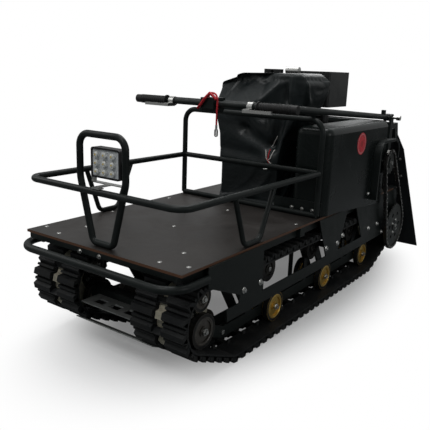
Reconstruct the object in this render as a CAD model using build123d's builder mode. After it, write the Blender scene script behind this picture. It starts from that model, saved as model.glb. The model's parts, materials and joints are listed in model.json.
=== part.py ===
from build123d import *
import math
import os

os.makedirs("parts", exist_ok=True)

# A tracked snow tug: two rubber belts, a plywood load deck, an engine bay behind it.
# Millimetres. X runs across, Y runs back from the nose, Z is up, the floor is Z = 0.
# A station is a distance behind the deck's front edge.

# Deck and chassis
deck_width = 790.0
deck_length = 1960.0
deck_thickness = 10.0
deck_top = 454.0
beam_height = 40.0
beam_width = 40.0
beam_inset = 20.0
nose_beam_height = 20.0
nose_beam_depth = 30.0
beam_end = 2110.0
plate_thickness = 5.0
shaft_radius = 15.0
shaft_height = 290.0
skirt_low = 203.0
skirt_height = 50.0
plate_front = 138.0
plate_arch = 335.0
hanger_in = 132.0
hanger_width = 10.0

# Belts
belt_width = 242.0
belt_inset = 3.0
belt_thickness = 10.0
lug_height = 22.0
lug_base = 20.0
window_count = 40
window_width = 40.0
window_length = 86.0
window_phase = 0.5
nose_station = 161.0
nose_height = 238.0
nose_seat = 114.0
nose_teeth = 7
drive_station = 1945.0
drive_height = 235.0
drive_seat = 98.0
drive_teeth = 6
rim_width = 56.0
tooth_width = 32.0
tooth_length = 39.0
tooth_rise = 8.0
slat_half = 205.0
slat_width = 50.0
slat_thickness = 4.0
slat_height = 141.0

# Rollers and the frames inside the belts
roller_radius = 67.0
roller_width = 26.0
roller_offset = 59.0
roller_dish = 5.0
dish_margin = 24.0
upper_radius = 55.0
top_radius = 50.0
top_station = 185.0
approach_run = 62.0
axle_radius = 10.0
axle_margin = 7.0
frame_offset = 38.0
frame_thickness = 8.0
frame_depth = 46.0
frame_end = 1760.0
tie_size = 50.0
tie_station = 170.0
tie_height = 205.0
tie_half = 190.0
tie_plate = 8.0

# Tubes
rail_tube = 25.0
bumper_tube = 30.0
support_tube = 20.0
handle_tube = 30.0
bar_tube = 25.0

# Guard rail, hoops and bumper
rail_line = 661.0
rail_inset = 11.0
rail_front = 10.0
hoop_station = 966.0
hoop_top = 893.0
lamp_hoop_half = 114.0
lamp_hoop_foot = 52.0
lamp_hoop_top = 858.0
lamp_hoop_waist = 700.0
bumper_reach = 46.0
bumper_height = 402.0
bumper_corner = 95.0

# Work lamp
lamp_width = 144.0
lamp_height = 108.0
lamp_depth = 40.0
lamp_face = 48.0
lamp_middle = 757.0
lamp_rim = 12.0
lamp_fin = 14.0
led_radius = 11.0
bracket_thickness = 3.0

# Engine bay
cowl_front = 1000.0
cowl_back = 1724.0
cowl_inner = 225.0
cowl_overhang = 4.0
cowl_top = 855.0
cowl_wall = 3.0
cowl_corner = 45.0
kick_in = 148.0
kick_height = 66.0
kick_thickness = 3.0
cover_front = 1000.0
cover_depth = 230.0
crankcase_front = 1320.0
crankcase_top = 760.0
box_low = 925.0
box_top = 1100.0
box_front = 1340.0
tank_front = 1238.0
tank_depth = 78.0
tank_low = 935.0
tank_top = 1075.0
recoil_radius = 110.0
recoil_height = 600.0

# Chain drive
chain_offset = 20.0
chain_core = 10.0
chain_width = 12.0
link_width = 18.0
link_height = 16.0
link_length = 40.0
wide_links = 29
upper_station = 1758.0
upper_height = 628.0
small_pitch = 66.0
small_teeth = 16
large_pitch = 132.0
large_teeth = 32
sprocket_thickness = 6.0
sprocket_hub = 30.0
guard_lead = 198.0
guard_tail = 92.0
guard_rise = 132.0
guard_corner = 70.0
guard_wall = 4.0
guard_lip = 14.0
stand_half = 14.0
stand_in = 180.0

# Folding handle
pivot_station = 1900.0
pivot_height = 863.0
handle_inset = 65.0
handle_front = 702.0
handle_rise = 86.0
handle_corner = 80.0
eye_radius = 20.0
pin_radius = 8.0
knob_radius = 14.0
bar_station = 655.0
bar_overhang = 82.0
grip_length = 172.0
grip_radius = 18.0
clamp_half = 34.0
clamp_rise = 26.0
clamp_drop = 37.0
lever_reach = 50.0
cheek_thickness = 12.0
cheek_gap = 7.0
lanyard_width = 8.0

# Rear flap
flap_top_station = 2000.0
flap_drop = 28.0
flap_low_station = 2250.0
flap_low = 50.0
flap_thickness = 4.0
flap_half_top = 290.0
flap_half_low = 490.0

seat = 0.3

# The box runs from the bumper's nose to the flap's low edge, with Y = 0 in its middle.
nose_reach = bumper_reach + bumper_tube / 2
deck_front = -(flap_low_station + flap_thickness - nose_reach) / 2

deck_low = deck_top - deck_thickness
beam_low = deck_low - beam_height
belt_centre = deck_width / 2 - belt_inset - belt_width / 2
belt_in = belt_centre - belt_width / 2
belt_out = belt_centre + belt_width / 2
ground_gap = belt_thickness + lug_height
road_height = ground_gap + roller_radius
road_front = 361.0
road_stations = (715.0, 1210.0, 1697.0)
shaft_stations = (440.0, 1130.0, 1660.0)
upper_stations = (640.0, 1043.0, 1480.0)
sides = (-1, 1)


def at(station):
    return deck_front + station


def side_plane(x):
    return Plane(origin=(x, 0, 0), x_dir=(0, 1, 0), z_dir=(1, 0, 0))


def across(station):
    return Plane(origin=(0, at(station), 0), x_dir=(1, 0, 0), z_dir=(0, -1, 0))


def tube(points, bends, width):
    with BuildLine() as route:
        FilletPolyline(*points, radius=bends)
    with BuildSketch(Plane(origin=route.line @ 0, z_dir=route.line % 0)) as ring:
        Circle(width / 2)
    sweep(ring.sketch, path=route.line)


def rod(x_from, x_to, station, height, radius, mode=Mode.ADD):
    with BuildSketch(side_plane(x_from)) as disc:
        with Locations((at(station), height)):
            Circle(radius)
    extrude(disc.sketch, amount=x_to - x_from, mode=mode)


def block(x_range, stations, heights, mode=Mode.ADD):
    with BuildSketch(Plane.XY.offset(heights[0])) as foot:
        with Locations((sum(x_range) / 2, at(sum(stations) / 2))):
            Rectangle(x_range[1] - x_range[0], stations[1] - stations[0])
    extrude(foot.sketch, amount=heights[1] - heights[0], mode=mode)


def side_shape(x_from, x_to, outline, mode=Mode.ADD):
    with BuildSketch(side_plane(x_from)) as shape:
        with BuildLine():
            Polyline([(at(s), z) for s, z in outline], close=True)
        make_face()
    extrude(shape.sketch, amount=x_to - x_from, mode=mode)


def link(x_from, x_to, first, second, width):
    s = (first[0] + second[0]) / 2
    z = (first[1] + second[1]) / 2
    run = math.dist(first, second)
    turn = math.degrees(math.atan2(second[1] - first[1], second[0] - first[0]))
    with BuildSketch(side_plane(x_from)) as bar:
        with Locations((at(s), z)):
            SlotCenterToCenter(run, width, rotation=turn)
    extrude(bar.sketch, amount=x_to - x_from)


def keep(part, name):
    part.label = name
    export_step(part, f"parts/{name}.step")


# A loop wraps round turns, each (station, height, radius), first along the floor and back on top.
def loop_stretches(turns, grow):
    # (length, station, height, outward angle, radius) of each turn and of the run after it, whose radius is 0
    ahead = turns[1:] + turns[:1]
    normals = []
    for (station, height, radius), (next_station, next_height, next_radius) in zip(turns, ahead):
        heading = math.atan2(next_height - height, next_station - station)
        gap = math.hypot(next_station - station, next_height - height)
        normals.append(heading - math.acos((radius - next_radius) / gap))
    stretches = []
    for place, (station, height, radius) in enumerate(turns):
        before, after = normals[place - 1], normals[place]
        out = Vector(math.cos(after), math.sin(after))
        start = Vector(station, height) + out * (radius + grow)
        end = Vector(*ahead[place][:2]) + out * (ahead[place][2] + grow)
        sweep = (after - before) % math.tau
        stretches.append((sweep * (radius + grow), station, height, before, radius + grow))
        stretches.append(((end - start).length, start.X, start.Y, after, 0))
    return stretches


def loop_spot(stretches, distance):
    # (station, height, outward angle) at a distance along a loop
    for length, station, height, angle, radius in stretches:
        if distance <= length:
            break
        distance -= length
    if radius:
        angle += distance / radius
        return station + radius * math.cos(angle), height + radius * math.sin(angle), angle
    return station - distance * math.sin(angle), height + distance * math.cos(angle), angle


def loop_spots(stretches, count, phase):
    total = sum(stretch[0] for stretch in stretches)
    return [loop_spot(stretches, total * (place + phase) / count) for place in range(count)]


def spot_places(spots):
    return Locations(*[Location((at(s), z, 0), (0, 0, math.degrees(angle))) for s, z, angle in spots])


# Deck board
with BuildPart() as deck_board:
    block((-deck_width / 2, deck_width / 2), (0, deck_length), (deck_low, deck_top))
keep(deck_board.part, "deck_board")

# Chassis: ladder frame under the deck, side plates, low side skirts and cross shafts
plate_in = deck_width / 2 + 1
plate_out = plate_in + plate_thickness
beam_out = plate_in - beam_inset
beam_in = beam_out - beam_width
cross_stations = (400.0, 800.0, 1200.0, 1600.0, 1940.0)
skirt_top = skirt_low + skirt_height
# side plate outlines: (station, height) corners
side_plates = (
    ((plate_front, deck_low), (495, deck_low), (495, skirt_top), (plate_arch, skirt_top), (plate_arch, 286),
     (plate_front, 369)),
    ((975, deck_low), (1290, deck_low), (1205, skirt_top), (1071, skirt_top)),
    ((1390, deck_low), (2010, deck_low), (2010, 180), (1880, 180), (1850, skirt_top), (1504, skirt_top)),
)
skirt_outline = ((253, skirt_top), (1900, skirt_top), (1900, skirt_low), (260, skirt_low))
with BuildPart() as chassis:
    for side in sides:
        edges = sorted((side * beam_in, side * beam_out))
        block(edges, (nose_beam_depth, beam_end), (beam_low, deck_low))
        faces = sorted((side * plate_in, side * plate_out))
        for outline in side_plates:
            side_shape(*faces, outline)
        side_shape(*faces, skirt_outline)
        hanger = sorted((side * hanger_in, side * (hanger_in + hanger_width)))
        block(hanger, (drive_station - 50, drive_station + 50), (drive_height - 55, deck_low))
    block((-beam_out, beam_out), (0, nose_beam_depth), (deck_low - nose_beam_height, deck_low))
    for station in cross_stations:
        block((-plate_in, plate_in), (station, station + beam_width), (beam_low, deck_low))
    for station in shaft_stations:
        rod(-plate_in, plate_in, station, shaft_height, shaft_radius)
    rod(-plate_out, plate_out, drive_station, drive_height, axle_radius + seat, mode=Mode.SUBTRACT)
keep(chassis.part, "chassis")

# Bumper: one bent tube in front of and below the deck, ends on the side plates
bumper_end = plate_front - seat
bumper_x = plate_in + plate_thickness / 2
with BuildPart() as front_bumper:
    tube(
        [
            (-bumper_x, at(bumper_end), bumper_height),
            (-bumper_x, at(-bumper_reach), bumper_height),
            (bumper_x, at(-bumper_reach), bumper_height),
            (bumper_x, at(bumper_end), bumper_height),
        ],
        bumper_corner,
        bumper_tube,
    )
keep(front_bumper.part, "front_bumper")

# Guard rail: front bar, two side bars and four tapered feet
rail_end = hoop_station - rail_tube / 2 - seat
rail_half = deck_width / 2 - rail_inset
foot_low = deck_top + support_tube / 2
foot_stations = (300.0, 373.0, 482.0, 573.0)
with BuildPart() as guard_rail:
    tube(
        [
            (-rail_half, at(rail_end), rail_line),
            (-rail_half, at(rail_front), rail_line),
            (rail_half, at(rail_front), rail_line),
            (rail_half, at(rail_end), rail_line),
        ],
        55,
        rail_tube,
    )
    for side in sides:
        tube(
            [
                (side * rail_half, at(foot_stations[0]), rail_line),
                (side * rail_half, at(foot_stations[1]), foot_low),
                (side * rail_half, at(foot_stations[2]), foot_low),
                (side * rail_half, at(foot_stations[3]), rail_line),
            ],
            35,
            support_tube,
        )
keep(guard_rail.part, "guard_rail")

# Rear hoop: tall loop on the deck with a cross bar at rail height
hoop_low = deck_top + rail_tube / 2
with BuildPart() as rear_hoop:
    tube(
        [
            (-rail_half, at(hoop_station), hoop_low),
            (-rail_half, at(hoop_station), hoop_top),
            (rail_half, at(hoop_station), hoop_top),
            (rail_half, at(hoop_station), hoop_low),
        ],
        60,
        rail_tube,
    )
    for height in (hoop_low, rail_line):
        rod(-rail_half, rail_half, hoop_station, height, rail_tube / 2)
keep(rear_hoop.part, "rear_hoop")

# Lamp hoop: closed loop with a tapered foot, just behind the rail's front bar
lamp_hoop_station = rail_front + rail_tube + seat
with BuildPart() as lamp_hoop:
    with BuildLine(across(lamp_hoop_station)) as loop:
        FilletPolyline(
            (0, hoop_low),
            (lamp_hoop_foot, hoop_low),
            (lamp_hoop_half, lamp_hoop_waist),
            (lamp_hoop_half, lamp_hoop_top),
            (-lamp_hoop_half, lamp_hoop_top),
            (-lamp_hoop_half, lamp_hoop_waist),
            (-lamp_hoop_foot, hoop_low),
            radius=(0, 26, 90, 45, 45, 90, 26),
            close=True,
        )
    with BuildSketch(Plane(origin=loop.line @ 0, z_dir=loop.line % 0)):
        Circle(rail_tube / 2)
    sweep(path=loop.line)
keep(lamp_hoop.part, "lamp_hoop")

# Lamp bracket: foot plate on the rail's front bar and a yoke with a pin through each arm
rail_top = rail_line + rail_tube / 2
yoke_in = lamp_width / 2 + 5
yoke_out = yoke_in + bracket_thickness
tilt_station = lamp_face + lamp_depth / 2
yoke_low = lamp_middle - lamp_height / 2 - 22
with BuildPart() as lamp_bracket:
    block((-20, 20), (rail_front - 10, lamp_hoop_station - rail_tube / 2 - seat), (rail_top, rail_top + 4))
    block((-12, 12), (rail_front - 10, tilt_station + 12), (rail_top + 4, yoke_low))
    block((-yoke_out, yoke_out), (tilt_station - 12, tilt_station + 12), (yoke_low, yoke_low + bracket_thickness))
    for side in sides:
        arm = sorted((side * yoke_in, side * yoke_out))
        block(arm, (tilt_station - 12, tilt_station + 12), (yoke_low, lamp_middle + 12))
        pin = sorted((side * (lamp_width / 2 - 8), side * (yoke_out + 8)))
        rod(*pin, tilt_station, lamp_middle, 4)
keep(lamp_bracket.part, "lamp_bracket")

# Work lamp: finned housing and a square lens
with BuildPart() as lamp_housing:
    with BuildSketch(across(lamp_face)):
        with Locations((0, lamp_middle)):
            RectangleRounded(lamp_width, lamp_height, 10)
    extrude(amount=-lamp_depth)
    with BuildSketch(across(lamp_face)):
        with Locations((0, lamp_middle)):
            RectangleRounded(lamp_width - lamp_rim, lamp_height - lamp_rim, 6)
    extrude(amount=-10, mode=Mode.SUBTRACT)
    with BuildSketch(across(lamp_face + lamp_depth)):
        with Locations((0, lamp_middle)):
            with GridLocations(18, 1, 7, 1):
                Rectangle(4, lamp_height - 20)
    extrude(amount=-lamp_fin)
    for side in sides:
        hole = sorted((side * (lamp_width / 2 - 8 - seat), side * lamp_width))
        rod(*hole, tilt_station, lamp_middle, 4 + seat, mode=Mode.SUBTRACT)
keep(lamp_housing.part, "lamp_housing")

with BuildPart() as lamp_lens:
    with BuildSketch(across(lamp_face + 4)):
        with Locations((0, lamp_middle)):
            RectangleRounded(lamp_width - lamp_rim - 2 * seat, lamp_height - lamp_rim - 2 * seat, 6)
    extrude(amount=-6)
    with BuildSketch(across(lamp_face + 4)):
        with Locations((0, lamp_middle)):
            with GridLocations(40, 30, 3, 3):
                Circle(led_radius)
    extrude(amount=2)
keep(lamp_lens.part, "lamp_lens")


# Belts: the inner line wraps the nose wheel, the road rollers and the drive wheel
belt_turns = (
    (nose_station, nose_height, nose_seat),
    (road_front, road_height, roller_radius),
    (road_stations[-1], road_height, roller_radius),
    (drive_station, drive_height, drive_seat),
)
belt_facets = (16, 12, 12, 12)
belt_middle = loop_stretches(belt_turns, belt_thickness / 2)
belt_lugs = loop_spots(belt_middle, 2 * window_count, 2 * window_phase)
belt_windows = loop_spots(belt_middle, window_count, window_phase)
lug_tip = belt_thickness / 2 + lug_height


def wrap_face(turns, facets, grow):
    # each turn is a ring of flats, as a loop of stiff bars makes, with a flat at its foot
    for (station, height, radius), count in zip(turns, facets):
        with Locations((at(station), height)):
            RegularPolygon(radius + grow, count, major_radius=False, rotation=180 / count)
    make_hull()


for side, name in ((-1, "track_left"), (1, "track_right")):
    middle = side * belt_centre
    with BuildPart() as track:
        with BuildSketch(side_plane(middle - belt_width / 2)):
            wrap_face(belt_turns, belt_facets, belt_thickness)
            with spot_places(belt_lugs):
                Polygon((2, -lug_base / 2), (lug_tip, 0), (2, lug_base / 2), align=None)
        extrude(amount=belt_width)
        with BuildSketch(side_plane(middle - belt_width / 2)):
            wrap_face(belt_turns, belt_facets, 0)
        extrude(amount=belt_width, mode=Mode.SUBTRACT)
        with BuildSketch(side_plane(middle - window_width / 2)):
            with spot_places(belt_windows):
                Rectangle(4 * lug_height, window_length)
        extrude(amount=window_width, mode=Mode.SUBTRACT)
    keep(track.part, name)

# Toothed wheels: a rim under each belt's middle, teeth up through its windows
for name, station, height, rim, count in (
    ("nose_wheels", nose_station, nose_height, nose_seat - seat, nose_teeth),
    ("drive_wheels", drive_station, drive_height, drive_seat - seat, drive_teeth),
):
    first = min(belt_windows, key=lambda spot: math.dist(spot[:2], (station, height)))
    tooth_tip = rim + belt_thickness + tooth_rise
    with BuildPart() as wheels:
        for side in sides:
            middle = side * belt_centre
            rod(middle - rim_width / 2, middle + rim_width / 2, station, height, rim)
            with BuildSketch(side_plane(middle - tooth_width / 2)):
                with Locations((at(station), height)):
                    with PolarLocations(0, count, start_angle=math.degrees(first[2])):
                        Polygon(
                            (rim / 2, -tooth_length / 2), (rim, -tooth_length / 2), (tooth_tip, -tooth_length / 3),
                            (tooth_tip, tooth_length / 3), (rim, tooth_length / 2), (rim / 2, tooth_length / 2),
                            align=None,
                        )
            extrude(amount=tooth_width)
        rod(-belt_out, belt_out, station, height, axle_radius + seat, mode=Mode.SUBTRACT)
    keep(wheels.part, name)

# Cross slat: a flat bar on the lugs of both belts, on the run up to the nose
slat_lug = min([spot for spot in belt_lugs if spot[0] < nose_station], key=lambda spot: abs(spot[1] - slat_height))
slat_out = lug_tip + seat
with BuildPart() as cross_slat:
    with BuildSketch(side_plane(-slat_half)):
        with spot_places([slat_lug]):
            with Locations((slat_out, 0)):
                Rectangle(slat_thickness, slat_width, align=(Align.MIN, Align.CENTER))
    extrude(amount=2 * slat_half)
keep(cross_slat.part, "cross_slat")

# Rollers stand in two lines, one each side of a belt's middle
_, run_station, run_height, run_angle, _ = loop_stretches(belt_turns, -roller_radius)[1]
approach_station = run_station - approach_run * math.sin(run_angle)
approach_height = run_height + approach_run * math.cos(run_angle)


def under_run(station, radius):
    _, start_station, start_height, angle, _ = loop_stretches(belt_turns, -radius)[-1]
    return start_height + (start_station - station) / math.tan(angle)


both_lines = (-1, 1)
inner_line = (-1,)
# station, height, radius and the lines that hold a roller, -1 towards the machine's middle
nose_rollers = (
    (approach_station, approach_height, roller_radius, both_lines),
    (top_station, under_run(top_station, top_radius), top_radius, both_lines),
)
floor_rollers = ((road_front, road_height, roller_radius, inner_line),)
floor_rollers += tuple((station, road_height, roller_radius, both_lines) for station in road_stations)
upper_rollers = tuple((station, under_run(station, upper_radius), upper_radius, both_lines)
                      for station in upper_stations)
all_rollers = nose_rollers + floor_rollers + upper_rollers

for name, rollers in (("road_rollers", nose_rollers + floor_rollers), ("support_rollers", upper_rollers)):
    with BuildPart() as discs:
        for station, height, radius, lines in rollers:
            for middle in [side * (belt_centre + line * roller_offset) for side in sides for line in lines]:
                low_x, high_x = middle - roller_width / 2, middle + roller_width / 2
                rod(low_x, high_x, station, height, radius - seat)
                for face, depth in ((low_x, roller_dish), (high_x, -roller_dish)):
                    rod(face, face + depth, station, height, radius - dish_margin, mode=Mode.SUBTRACT)
                    rod(face, face + depth, station, height, 2 * axle_radius)
            rod(-belt_out, belt_out, station, height, axle_radius + seat, mode=Mode.SUBTRACT)
    keep(discs.part, name)

# Axles through the rollers and wheels, as distances either way from a belt's middle
axle_half = roller_offset + roller_width / 2 + axle_margin
rail_face = frame_offset + frame_thickness / 2
tie_offset = belt_centre - tie_half + tie_plate
with BuildPart() as roller_axles:
    for side in sides:
        spans = [(station, height, -axle_half, axle_half) for station, height, _, lines in floor_rollers[1:]]
        spans += [(station, height, -axle_half, axle_half) for station, height, _, lines in upper_rollers]
        spans.append((road_front, road_height, -axle_half, rail_face + axle_margin / 2))
        spans.append((nose_station, nose_height, -rail_face - axle_margin / 2, rail_face + axle_margin / 2))
        stub = rail_face - frame_thickness - 2
        spans.append((approach_station, approach_height, -tie_offset, -stub))
        spans.append((approach_station, approach_height, stub, axle_half))
        spans.append((top_station, nose_rollers[1][1], -axle_half, -stub))
        spans.append((top_station, nose_rollers[1][1], stub, axle_half))
        for station, height, near, far in spans:
            rod(*sorted((side * (belt_centre + near), side * (belt_centre + far))), station, height, axle_radius)
keep(roller_axles.part, "roller_axles")

# Track frames: two rails inside each belt with a nose part, arms and uprights
heel = (road_front, road_height)
approach = (approach_station, approach_height)
nose = (nose_station, nose_height)
frame_links = [
    (heel, (frame_end, road_height), frame_depth),
    (heel, approach, frame_depth),
    (approach, nose, frame_depth),
    (nose, nose_rollers[1][:2], frame_depth),
]
frame_links += [((station, shaft_height), (station + reach, road_height), frame_depth)
                for station, reach in zip(shaft_stations, (120, 120, -100))]
frame_links += [((station, height), (station, road_height), 30) for station, height, _, lines in upper_rollers]
frame_bores = [(station, height, axle_radius) for station, height, _, lines in all_rollers]
frame_bores += [(*nose, axle_radius)]
frame_bores += [(station, shaft_height, shaft_radius) for station in shaft_stations]
for side, name in ((-1, "track_frame_left"), (1, "track_frame_right")):
    with BuildPart() as frame:
        for turn in sides:
            middle = side * belt_centre + turn * frame_offset
            for first, second, width in frame_links:
                link(middle - frame_thickness / 2, middle + frame_thickness / 2, first, second, width)
        for station, height, radius in frame_bores:
            rod(-belt_out, belt_out, station, height, radius + seat, mode=Mode.SUBTRACT)
    keep(frame.part, name)

# Front cross tube between the belts, hung by its end plates on the approach rollers' axles
with BuildPart() as front_tie:
    block(
        (-tie_half, tie_half),
        (tie_station - tie_size / 2, tie_station + tie_size / 2),
        (tie_height - tie_size / 2, tie_height + tie_size / 2),
    )
    for side in sides:
        ends = sorted((side * (tie_half - tie_plate), side * tie_half))
        link(*ends, approach, (tie_station, tie_height), tie_size)
        rod(*ends, *approach, axle_radius + seat, mode=Mode.SUBTRACT)
keep(front_tie.part, "front_tie")

# Perforated step plate on the cross tube's front face
step_half = belt_in - 4
step_top = tie_height - 3
step_back = tie_station - tie_size / 2 - seat
with BuildPart() as step_plate:
    block((-step_half, step_half), (step_back - 92, step_back), (step_top - 4, step_top))
    block((-step_half, step_half), (step_back - 4, step_back), (step_top - 24, step_top))
    with BuildSketch(Plane.XY.offset(step_top)):
        with Locations((0, at(step_back - 50))):
            with GridLocations(80, 1, 3, 1):
                Rectangle(50, 36)
    extrude(amount=-4, mode=Mode.SUBTRACT)
keep(step_plate.part, "step_plate")

# Cowl: glossy shell over the drive, open below, its outer side hangs over the deck's edge
cowl_outer = plate_out + cowl_overhang
cowl_outline = (
    (cowl_front, deck_top + 2), (cowl_front + 170, deck_top - 4), (cowl_back, deck_top - 48), (cowl_back, cowl_top),
    (cowl_front, cowl_top),
)
with BuildPart() as cowl:
    side_shape(cowl_inner, cowl_outer, cowl_outline)
    upright = cowl.edges().filter_by(Axis.Z).group_by(Axis.Y)[0]
    fillet(upright, cowl_corner)
    top = cowl.faces().sort_by(Axis.Z)[-1]
    fillet(top.edges(), 30)
    low_faces = [face for face in cowl.faces() if face.normal_at().Z < -0.9]
    offset(amount=-cowl_wall, openings=low_faces)
    inside = plate_out + seat
    cut = (deck_low - 54, deck_top + seat)
    block((cowl_inner - 1, inside), (cowl_front - 1, cowl_back + 1), cut, mode=Mode.SUBTRACT)
keep(cowl.part, "cowl")

# Kick panel at the cowl's foot
kick_top = deck_top + kick_height
kick_out = cowl_outer - 13
with BuildPart() as kick_panel:
    block((kick_in, kick_out), (cowl_front - 10, cowl_front - 10 + kick_thickness), (deck_top, kick_top))
    block((kick_in, kick_out), (cowl_front - 10, cowl_front - seat), (kick_top - kick_thickness, kick_top))
keep(kick_panel.part, "kick_panel")

# Chain guard: a channel round the upper sprocket with a lip, open below and outwards
chain_plane = cowl_outer + chain_offset
guard_in = cowl_outer + seat
guard_out = chain_plane + 15
guard_front = upper_station - guard_lead
guard_back = upper_station + guard_tail
guard_top = upper_height + guard_rise
guard_low = deck_top - 4
with BuildPart() as chain_guard:
    for near, far, wall in ((guard_in, guard_out - 3, guard_wall), (guard_out - 3, guard_out, guard_lip)):
        with BuildSketch(side_plane(near)):
            with Locations((at(guard_front), guard_low)):
                outer = Rectangle(guard_back - guard_front, guard_top - guard_low, align=(Align.MIN, Align.MIN))
            fillet(outer.vertices().group_by(Axis.Y)[-1], guard_corner)
            offset(amount=-wall, mode=Mode.SUBTRACT)
            with Locations((at(guard_front + wall), guard_low)):
                Rectangle(guard_back - guard_front - 2 * wall, wall, align=(Align.MIN, Align.MIN), mode=Mode.SUBTRACT)
            with Locations((at(guard_back - 2 * wall), guard_low)):
                Rectangle(3 * wall, 200, align=(Align.MIN, Align.MIN), mode=Mode.SUBTRACT)
        extrude(amount=far - near)
keep(chain_guard.part, "chain_guard")

# Engine: crankcase on its foot, finned cylinder, intake neck, output shaft and two straps for the tank
crankcase_back = crankcase_front + 270
tank_back = tank_front + tank_depth
with BuildPart() as engine_block:
    block((-170, 170), (crankcase_front - 20, crankcase_back + 10), (deck_top, deck_top + 16))
    block((-120, 150), (crankcase_front, crankcase_back), (deck_top + 16, crankcase_top))
    block((-60, 80), (crankcase_front + 30, crankcase_front + 180), (crankcase_top, box_low - 30))
    for fin in range(6):
        fin_low = crankcase_top + 12 + 20 * fin
        block((-85, 105), (crankcase_front + 10, crankcase_front + 200), (fin_low, fin_low + 6))
    block((-20, 90), (box_front + 20, box_front + 100), (box_low - 30, box_low))
    rod(150, cowl_inner - seat, crankcase_front + 130, 560, 14)
    for strap in (-100, 60):
        block((strap - 10, strap + 10), (tank_back + seat, crankcase_front + 2), (crankcase_top - 40, tank_low + 60))
keep(engine_block.part, "engine_block")

with BuildPart() as recoil_cover:
    rod(-170, -120 - seat, crankcase_front + 130, recoil_height, recoil_radius)
    fillet(recoil_cover.edges().filter_by(GeomType.CIRCLE).sort_by(Axis.X)[0], 18)
    rod(-184, -170, crankcase_front + 130, recoil_height, 42)
    with BuildSketch(side_plane(-184)):
        with Locations((at(crankcase_front + 130), recoil_height)):
            with PolarLocations(66, 12):
                SlotOverall(34, 8)
    extrude(amount=30, mode=Mode.SUBTRACT)
keep(recoil_cover.part, "recoil_cover")

with BuildPart() as muffler:
    block((-100, 120), (crankcase_front + 205, crankcase_back), (crankcase_top + seat, crankcase_top + 120))
    fillet(muffler.edges().filter_by(Axis.Z), 14)
    for slot in range(4):
        slot_low = crankcase_top + 24 + 24 * slot
        block((-80, 100), (crankcase_back - 8, crankcase_back), (slot_low, slot_low + 10), mode=Mode.SUBTRACT)
keep(muffler.part, "muffler")

# Air box with upright ribs on its front
with BuildPart() as air_box:
    block((-20, 220), (box_front, box_front + 240), (box_low + seat, box_top))
    fillet(air_box.edges().filter_by(Axis.Z), 12)
    for rib in (75, 100, 125, 150, 175):
        block((rib - 3, rib + 3), (box_front - 14, box_front + 2), (box_low + 10, box_top - 65))
keep(air_box.part, "air_box")

# Fuel tank with two caps, and a breather beside them
with BuildPart() as fuel_tank:
    block((-180, 105), (tank_front, tank_back), (tank_low, tank_top))
    fillet(fuel_tank.edges().filter_by(Axis.X), 22)
    with BuildSketch(Plane.XY.offset(tank_top - 1)):
        with Locations((-92, at(tank_front + 40)), (-37, at(tank_front + 40))):
            Circle(25)
    extrude(amount=30)
keep(fuel_tank.part, "fuel_tank")

with BuildPart() as breather:
    rod(12, 82, tank_front + 40, tank_top + 24, 18)
    block((37, 57), (tank_front + 32, tank_front + 48), (tank_top + seat, tank_top + 20))
keep(breather.part, "breather")

# Engine cover: soft coated cloth over the engine's front
# (across, height) corners of the front view
cover_low = deck_top + seat
cover_outline = (
    (-200, cover_low), (-205, 780), (-240, 900), (-240, 1040), (-115, 1080), (234, 1088),
    (288, 1048), (246, 941), (154, 784), (136, 664), (145, cover_low),
)
with BuildPart() as engine_cover:
    with BuildSketch(across(cover_front)):
        with BuildLine():
            Polyline(cover_outline, close=True)
        make_face()
    extrude(amount=-cover_depth)
keep(engine_cover.part, "engine_cover")

# Shafts with the upper one's bearing stands, and the chain drive
stand_out = cowl_outer - 65
with BuildPart() as jack_stand:
    for x in (stand_in, stand_out):
        foot = (upper_station - 30, upper_station + 30)
        block((x - stand_half, x + stand_half), foot, (deck_top, upper_height))
        rod(x - stand_half, x + stand_half, upper_station, upper_height, 30)
    bore = (stand_in - stand_half, stand_out + stand_half)
    rod(*bore, upper_station, upper_height, axle_radius + seat, mode=Mode.SUBTRACT)
keep(jack_stand.part, "jack_stand")

drive_end = chain_plane + chain_width / 2 + 8
with BuildPart() as drive_shafts:
    rod(-plate_out - 6, drive_end, drive_station, drive_height, axle_radius)
    rod(stand_in - stand_half - 6, drive_end, upper_station, upper_height, axle_radius)
keep(drive_shafts.part, "drive_shafts")

chain_turns = ((upper_station, upper_height, small_pitch), (drive_station, drive_height, large_pitch))
chain_facets = (small_teeth, large_teeth)
chain_middle = loop_stretches(chain_turns, 0)
sprocket_in = chain_plane - sprocket_thickness / 2
# the teeth show only where the chain has left the sprocket
free_teeth = 2
with BuildPart() as sprockets:
    for place, teeth in ((0, small_teeth), (1, large_teeth)):
        station, height, pitch = chain_turns[place]
        body = pitch - link_height / 2 - seat
        rod(sprocket_in, sprocket_in + sprocket_thickness, station, height, body)
        rod(sprocket_in, sprocket_in + 2 * sprocket_thickness, station, height, sprocket_hub)
        leaves = chain_middle[2 * place + 1][3]
        meets = chain_middle[2 * place][3]
        step = math.tau / teeth
        count = int(((meets - leaves) % math.tau) / step) - free_teeth
        spots = [leaves + step * (place + free_teeth) for place in range(count - 1)]
        with BuildSketch(side_plane(sprocket_in)):
            with spot_places([(station, height, angle) for angle in spots]):
                Polygon((body - 6, -6), (body + 6, -2), (body + 6, 2), (body - 6, 6), align=None)
        extrude(amount=sprocket_thickness)
        rod(plate_out, drive_end, station, height, axle_radius + seat, mode=Mode.SUBTRACT)
    with BuildSketch(side_plane(sprocket_in)):
        with Locations((at(drive_station), drive_height)):
            with PolarLocations(large_pitch / 2 + 8, 6):
                Circle(12)
    extrude(amount=sprocket_thickness, mode=Mode.SUBTRACT)
keep(sprockets.part, "sprockets")

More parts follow.
